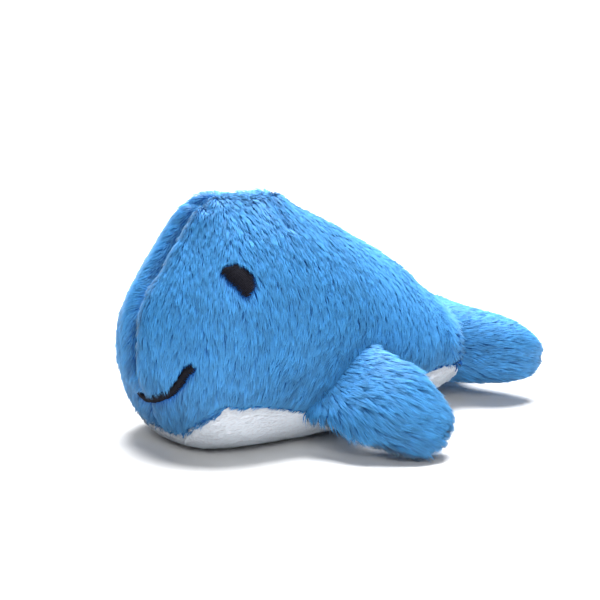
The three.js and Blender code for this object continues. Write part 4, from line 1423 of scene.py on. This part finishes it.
def eye_stitches(side, sign, tree, stitch, rng):
    """Satin stitches across the half moon, from its straight side to its arch."""
    mirror = Vector((sign, 1, 1))
    corner, tip = EYE_CORNER * mirror, EYE_TIP * mirror
    chord = tip - corner
    length = chord.length
    chord.normalize()
    out = tree.find_nearest((corner + tip) / 2)[1]
    if out.x * sign < 0:
        out = -out
    across = out.cross(chord).normalized()
    if across.y < 0:
        across.negate()
    mesh_tool = bmesh.new()
    steps = int(2 * EYE_HALF_LENGTH * length / (stitch.satin_width * EYE_SPACING))
    for k in range(steps):
        share = 0.5 + EYE_HALF_LENGTH * (2 * (k + 0.5) / steps - 1)
        low, high = (value * length for value in eye_span(share))
        if high - low < stitch.satin_width:
            continue
        ragged = rng.uniform(*EYE_RAGGED, 2) * MM
        middle = corner + chord * (share * length)
        slant = chord * EYE_SLANT * MM
        satin_stitch(mesh_tool, tree, middle + across * (low - ragged[0]) - slant,
                     middle + across * (high + ragged[1]) + slant, -out, stitch)
    return finished_threads(f"{side}_eye_stitches", mesh_tool)


# The smile's line is read from its embroidered patch, in columns of points
SMILE_COLUMNS, SMILE_ROWS = 60, 120
SMILE_START, SMILE_MARGIN = 0.4 * MM, 0.2 * MM
IN_FRONT, SMILE_PLANE = -100 * MM, -60 * MM
BACKWARDS = Vector((0, 1, 0))
# The stitches stop a little short of the end of the patch
SMILE_REACH = 0.94
SMILE_SAG, SMILE_SAG_REACH = 1.0 * MM, 8 * MM
SMILE_LIFT = 0.2 * MM
RIGHT_SMILE_SUNK = 0.2 * MM
RIGHT_SMILE_SAG, RIGHT_SMILE_SAG_REACH = 1.6 * MM, 10 * MM
SMILE_SPACING = 0.92
SMILE_SLANT = 0.25
# How far a stitch of the smile falls short of its line or passes it, in millimetres
SMILE_RAGGED = (-0.08, 0.22)
# The smile's ends are rounded over this length, down to this share of its width
END_ROUND, END_SHIFT = 1.2 * MM, 0.3
END_WIDTH, END_GAIN = 0.55, 0.45


def smile_line(sign, node):
    """Points along the middle of the smile's embroidered patch."""
    rows = coordinates(node)
    footprint = tree_of(node)
    centres = []
    reach = np.abs(rows[:, 0]).max()
    for x in np.linspace(SMILE_START, reach - SMILE_MARGIN, SMILE_COLUMNS):
        inside = []
        for z in np.linspace(rows[:, 2].min(), rows[:, 2].max(), SMILE_ROWS):
            if footprint.ray_cast(Vector((sign * x, IN_FRONT, z)), BACKWARDS)[0] is not None:
                inside.append(z)
        if inside:
            sag = SMILE_SAG * (1 - ease(x / SMILE_SAG_REACH))
            if sign < 0:
                sag += RIGHT_SMILE_SAG * math.sin(math.pi * min(x / RIGHT_SMILE_SAG_REACH, 1))
            height = (inside[0] + inside[-1]) / 2 - sag
            centres.append(Vector((sign * x * SMILE_REACH, SMILE_PLANE, height)))
    return centres


def smile_stitches(side, sign, tree, stitch, rng):
    """Short satin stitches across the line of the smile."""
    centres = smile_line(sign, NODES[f"{side}_smile_embroidery"].data)
    sunk = (RIGHT_SMILE_SUNK if sign < 0 else 0.0) - SMILE_LIFT
    mesh_tool = bmesh.new()
    walked, spot = 0.0, 0.0
    total = sum((second - first).length for first, second in zip(centres, centres[1:]))
    for first, second in zip(centres, centres[1:]):
        length = (second - first).length
        while spot <= walked + length:
            point = first.lerp(second, (spot - walked) / length)
            ahead = (second - first).normalized()
            across = Vector((-ahead.z, 0, ahead.x)) * sign
            slanted = (across + ahead * SMILE_SLANT).normalized()
            halves = stitch.smile_width / 2 + rng.uniform(*SMILE_RAGGED, 2) * MM
            from_ends = [ease((way + END_ROUND * END_SHIFT) / END_ROUND) for way in (spot, total - spot)]
            fade = from_ends[0] * from_ends[1] if spot > total / 2 else 1
            halves *= END_WIDTH + END_GAIN * fade
            satin_stitch(mesh_tool, tree, point - slanted * halves[0], point + slanted * halves[1],
                         BACKWARDS, stitch, sunk)
            spot += stitch.satin_width * SMILE_SPACING
        walked += length
    return finished_threads(f"{side}_smile_stitches", mesh_tool)


# Longest step from one point of a seam to the next
SEAM_BREAK = 6 * MM
SEAM_START = 0.5 * MM
SEAM_POINTS = 6
# Height of a seam stitch, and the share of it that lies in the cloth
SEAM_ARCH, SEAM_SUNK = 0.5 * MM, 0.7
SEAM_FLATTENING = 0.8
SEAM_LIFT = 0.3 * MM
TAIL_SEAM_BACK = Vector((0, 1.5 * MM, 0))


def ordered(points):
    """Points of a seam in the order in which they follow each other, from one end."""
    points = [Vector(point) for point in points]
    middle = sum(points, Vector()) / len(points)
    start = max(range(len(points)), key=lambda k: (points[k] - middle).length)
    left, path = set(range(len(points))) - {start}, [points[start]]
    while left:
        nearest = min(left, key=lambda k: (points[k] - path[-1]).length_squared)
        if (points[nearest] - path[-1]).length > SEAM_BREAK:
            break
        path.append(points[nearest])
        left.remove(nearest)
    return path


def seam_stitches(name, path, tree, stitch, lift):
    """A row of running stitches along a path, each with both ends in the cloth."""
    mesh_tool = bmesh.new()
    lengths = [0.0]
    for first, second in zip(path, path[1:]):
        lengths.append(lengths[-1] + (second - first).length)

    def at(place):
        place = min(max(place, 0.0), lengths[-1])
        index = min(max(np.searchsorted(lengths, place) - 1, 0), len(path) - 2)
        span = max(lengths[index + 1] - lengths[index], TINY)
        return path[index].lerp(path[index + 1], (place - lengths[index]) / span)

    place = SEAM_START
    while place + stitch.seam_stitch < lengths[-1]:
        points, ups = [], []
        for share in np.linspace(0, 1, SEAM_POINTS):
            point, normal, _, _ = tree.find_nearest(at(place + stitch.seam_stitch * share))
            points.append(point + normal * (lift + SEAM_ARCH * (math.sin(math.pi * share) - SEAM_SUNK)))
            ups.append(normal)
        tube_through(mesh_tool, points, ups, stitch.thread_width, stitch.thread_width * SEAM_FLATTENING)
        place += stitch.seam_stitch + stitch.seam_gap
    return finished_threads(name, mesh_tool)


def make_face(form_tree, stitch, material):
    pieces = []
    for side, sign in SIDES.items():
        rng = np.random.default_rng(91)
        for maker, node in ((eye_stitches, "eye"), (smile_stitches, "smile")):
            piece = maker(side, sign, form_tree, stitch, rng)
            dress(piece, material)
            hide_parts(f"{side}_{node}_embroidery")
            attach(piece, "body")
            pieces.append(piece)
    return pieces


def make_seams(form, stitch, material):
    mesh = form.data
    tree = tree_of(mesh)

    def place(name, points, node, lift=SEAM_LIFT):
        piece = seam_stitches(name, ordered(points), tree, stitch, lift)
        dress(piece, material)
        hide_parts(node)
        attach(piece, "body")

    place("centre_seam_stitches", seam_line(mesh, (LEFT, RIGHT)), "centre_seam_thread", lift=0.0)
    for side, ply in zip(SIDES, (LEFT, RIGHT)):
        place(f"{side}_belly_seam_stitches", seam_line(mesh, (ply, BELLY)), f"{side}_belly_seam_thread")
        rod = coordinates(NODES[f"{side}_fin_seam_thread"].data)
        place(f"{side}_fin_seam_stitches", [Vector(row) for row in rod[::3]], f"{side}_fin_seam_thread")
    line = [mesh.vertices[k].co - TAIL_SEAM_BACK for k in open_vertices(mesh)]
    place("tail_seam_stitches", line, "tail_seam_thread")


# Filling and sachet

WAD_VOXEL = 1.6 * MM
# How far each filling lies inside the solid of its node
WAD_DEPTHS = {
    "body": 1.9 * MM,
    "left_fin": 1.1 * MM,
    "right_fin": 1.1 * MM,
    "tail": 1.1 * MM,
}
WAD_WAVE, WAD_LUMPS = 9 * MM, 0.4
# The body's filling is pressed in under its seams
WAD_SEAMS = (
    ("centre_seam_thread", 4.5 * MM),
    ("left_belly_seam_thread", 1 * MM),
    ("right_belly_seam_thread", 1 * MM),
)
WAD_SEAM_WIDTH = 3.5 * MM


def make_fillings(material):
    """Lumpy filling inside each cover, a little smaller than the space that it fills."""
    for body, depth in WAD_DEPTHS.items():
        node = f"{body}_filling"
        made = new_object(f"{node}_wad", NODES[node].data.copy())
        skin = made.modifiers.new("wad", "REMESH")
        skin.mode = "VOXEL"
        skin.voxel_size = WAD_VOXEL
        apply_modifiers(made)
        mesh = made.data
        relax(mesh, 3)
        rows = coordinates(mesh)
        lumps = depth + ripple(rows, WAD_WAVE, 5) * WAD_LUMPS * MM
        set_coordinates(mesh, rows - vertex_normals(mesh) * lumps[:, None])
        if body == "body":
            for seam, deeper in WAD_SEAMS:
                press_in(mesh, coordinates(NODES[seam].data), deeper, WAD_SEAM_WIDTH)
        relax(mesh, 2)
        shade_smooth(made)
        dress(made, material)
        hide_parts(node)
        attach(made, body)


def dress_sachet(cloth, catnip):
    finishes = {"sachet_upper_ply": cloth, "sachet_lower_ply": cloth, "dried_catnip": catnip}
    for node, material in finishes.items():
        NODES[node].data.materials.clear()
        NODES[node].data.materials.append(material)


# Studio

FLOOR_RADIUS, FLOOR_SIDES, FLOOR_ROUGHNESS = 1.1, 64, 0.9
WHITE = (1, 1, 1)
CLIP_START, CLIP_END = 0.05, 50
# Name, place, width and power of each light
LIGHTS = (
    ("overhead softbox", Vector((-0.45, 0.5, 2.3)), 1.7, 185),
    ("front softbox", Vector((1.75, -0.85, 1.3)), 1.2, 22),
)


def add_to_studio(name, data, place, back):
    """An object of the scene that looks away from its back."""
    made = new_object(name, data)
    made.location = place
    made.rotation_mode = "QUATERNION"
    made.rotation_quaternion = (-back).to_track_quat("-Z", "Y")
    return made


def make_floor(colour):
    mesh_tool = bmesh.new()
    bmesh.ops.create_circle(mesh_tool, cap_ends=True, segments=FLOOR_SIDES, radius=FLOOR_RADIUS)
    floor = new_object("floor", mesh_from(mesh_tool, "floor"))
    material, _, _, shader = new_material("studio floor", FLOOR_ROUGHNESS, 0, WHITE, 0.0)
    shader.inputs["Base Color"].default_value = (*colour, 1)
    floor.data.materials.append(material)


def soft_light(name, place, target, size, power):
    light = bpy.data.lights.new(name, "AREA")
    light.shape = "DISK"
    light.size = size
    light.energy = power
    add_to_studio(name, light, place, place - target)


def make_camera(studio):
    turn, rise = studio.azimuth, studio.elevation
    back = Vector((math.sin(turn) * math.cos(rise), -math.cos(turn) * math.cos(rise), math.sin(rise)))
    lens = bpy.data.cameras.new("photo camera")
    lens.angle = studio.field
    lens.clip_start, lens.clip_end = CLIP_START, CLIP_END
    place = Vector(studio.target) + back * studio.distance
    bpy.context.scene.camera = add_to_studio("photo camera", lens, place, back)


def light_the_world(tree, sky):
    """Soft light from all round, in front of a plain white backdrop."""
    tree.nodes["Background"].inputs["Strength"].default_value = sky
    tree.nodes["Background"].inputs["Color"].default_value = (*WHITE, 1)
    backdrop = tree.nodes.new("ShaderNodeBackground")
    backdrop.inputs["Color"].default_value = (*WHITE, 1)
    choice, rays = tree.nodes.new("ShaderNodeMixShader"), tree.nodes.new("ShaderNodeLightPath")
    tree.links.new(rays.outputs["Is Camera Ray"], choice.inputs[0])
    tree.links.new(tree.nodes["Background"].outputs[0], choice.inputs[1])
    tree.links.new(backdrop.outputs[0], choice.inputs[2])
    tree.links.new(choice.outputs[0], tree.nodes["World Output"].inputs["Surface"])


class WHALE_OT_studio(Operator):
    """Make the floor, the soft light and the camera at the photograph's angle"""

    bl_idname = "whale.studio"
    bl_label = "Studio"

    def execute(self, context):
        studio = context.scene.whale_studio
        make_camera(studio)
        make_floor(studio.floor_colour)
        middle = (CAD_LOW + CAD_HIGH) / 2
        for name, place, size, power in LIGHTS:
            soft_light(name, place, middle, size, power * studio.key)
        world = bpy.data.worlds.new("studio")
        world.use_nodes = True
        light_the_world(world.node_tree, studio.sky)
        context.scene.world = world
        context.scene.view_settings.view_transform = "Standard"
        return {"FINISHED"}


class WHALE_OT_body(Operator):
    """Make the two side panels and the belly panel with their pile, and the face and seams on them"""

    bl_idname = "whale.body"
    bl_label = "Body"

    def execute(self, context):
        scene = context.scene
        pile, cover, stitch = scene.whale_pile, scene.whale_cover, scene.whale_stitch
        smooth = sewn_form("smooth_body", BODY_PANELS, "body_filling", BELLY)
        subdivide(smooth, 2)
        surface = tree_of(smooth.data)
        bpy.data.objects.remove(smooth)
        face = make_face(surface, stitch, thread_material("black satin thread", tuple(stitch.black)))
        blue, white = (pile.root_colour, pile.tip_colour), (pile.white_root_colour, pile.white_tip_colour)
        materials = (
            pile_material("blue pile", *blue, BLUE_SPREAD, BLUE_SHEEN),
            pile_material("white pile", *white, WHITE_SPREAD, WHITE_SHEEN),
            cloth_material("blue backing cloth"),
            cloth_material("white backing cloth"),
        )
        form = make_body(pile, cover, materials, face)
        make_seams(form, stitch, thread_material("blue sewing thread", tuple(stitch.blue)))
        bpy.data.objects.remove(form)
        return {"FINISHED"}


class WHALE_OT_limbs(Operator):
    """Make the side fins and the tail with their pile"""

    bl_idname = "whale.limbs"
    bl_label = "Fins and tail"

    def execute(self, context):
        pile, cover = context.scene.whale_pile, context.scene.whale_cover
        materials = [bpy.data.materials.get(name) for name in ("blue pile", "blue backing cloth")]
        if None in materials:
            raise RuntimeError("the body comes before the fins and the tail")
        make_fins(pile, cover, materials)
        make_tail(pile, cover, materials)
        return {"FINISHED"}


class WHALE_OT_inside(Operator):
    """Make the filling and give the sachet and the catnip their finish"""

    bl_idname = "whale.inside"
    bl_label = "Inside"

    def execute(self, context):
        make_fillings(cloth_material("polyester fibre"))
        dress_sachet(cloth_material("sachet cloth"), cloth_material("dried leaf"))
        return {"FINISHED"}


class WHALE_PT_toy(Panel):
    """The toy's sizes, colours and steps"""

    bl_idname = "WHALE_PT_toy"
    bl_label = "Plush Whale"
    bl_space_type = "VIEW_3D"
    bl_region_type = "UI"
    bl_category = "Plush Whale"

    def draw(self, context):
        for name, group in SETTINGS.items():
            box = self.layout.box()
            box.label(text=group.__doc__)
            for label in group.__annotations__:
                box.prop(getattr(context.scene, name), label)
        for operator in OPERATORS:
            self.layout.operator(operator.bl_idname)


SETTINGS = {
    "whale_pile": PileSettings,
    "whale_cover": CoverSettings,
    "whale_stitch": StitchSettings,
    "whale_studio": StudioSettings,
}
OPERATORS = (WHALE_OT_studio, WHALE_OT_body, WHALE_OT_limbs, WHALE_OT_inside)


def register():
    for group in (*SETTINGS.values(), *OPERATORS, WHALE_PT_toy):
        bpy.utils.register_class(group)
    for name, group in SETTINGS.items():
        setattr(bpy.types.Scene, name, PointerProperty(type=group))


def unregister():
    for name in SETTINGS:
        delattr(bpy.types.Scene, name)
    for group in (WHALE_PT_toy, *reversed(OPERATORS), *reversed(SETTINGS.values())):
        bpy.utils.unregister_class(group)


def main():
    register()
    bpy.ops.whale.studio()
    bpy.ops.whale.body()
    bpy.ops.whale.limbs()
    bpy.ops.whale.inside()


if __name__ == "__main__":
    main()
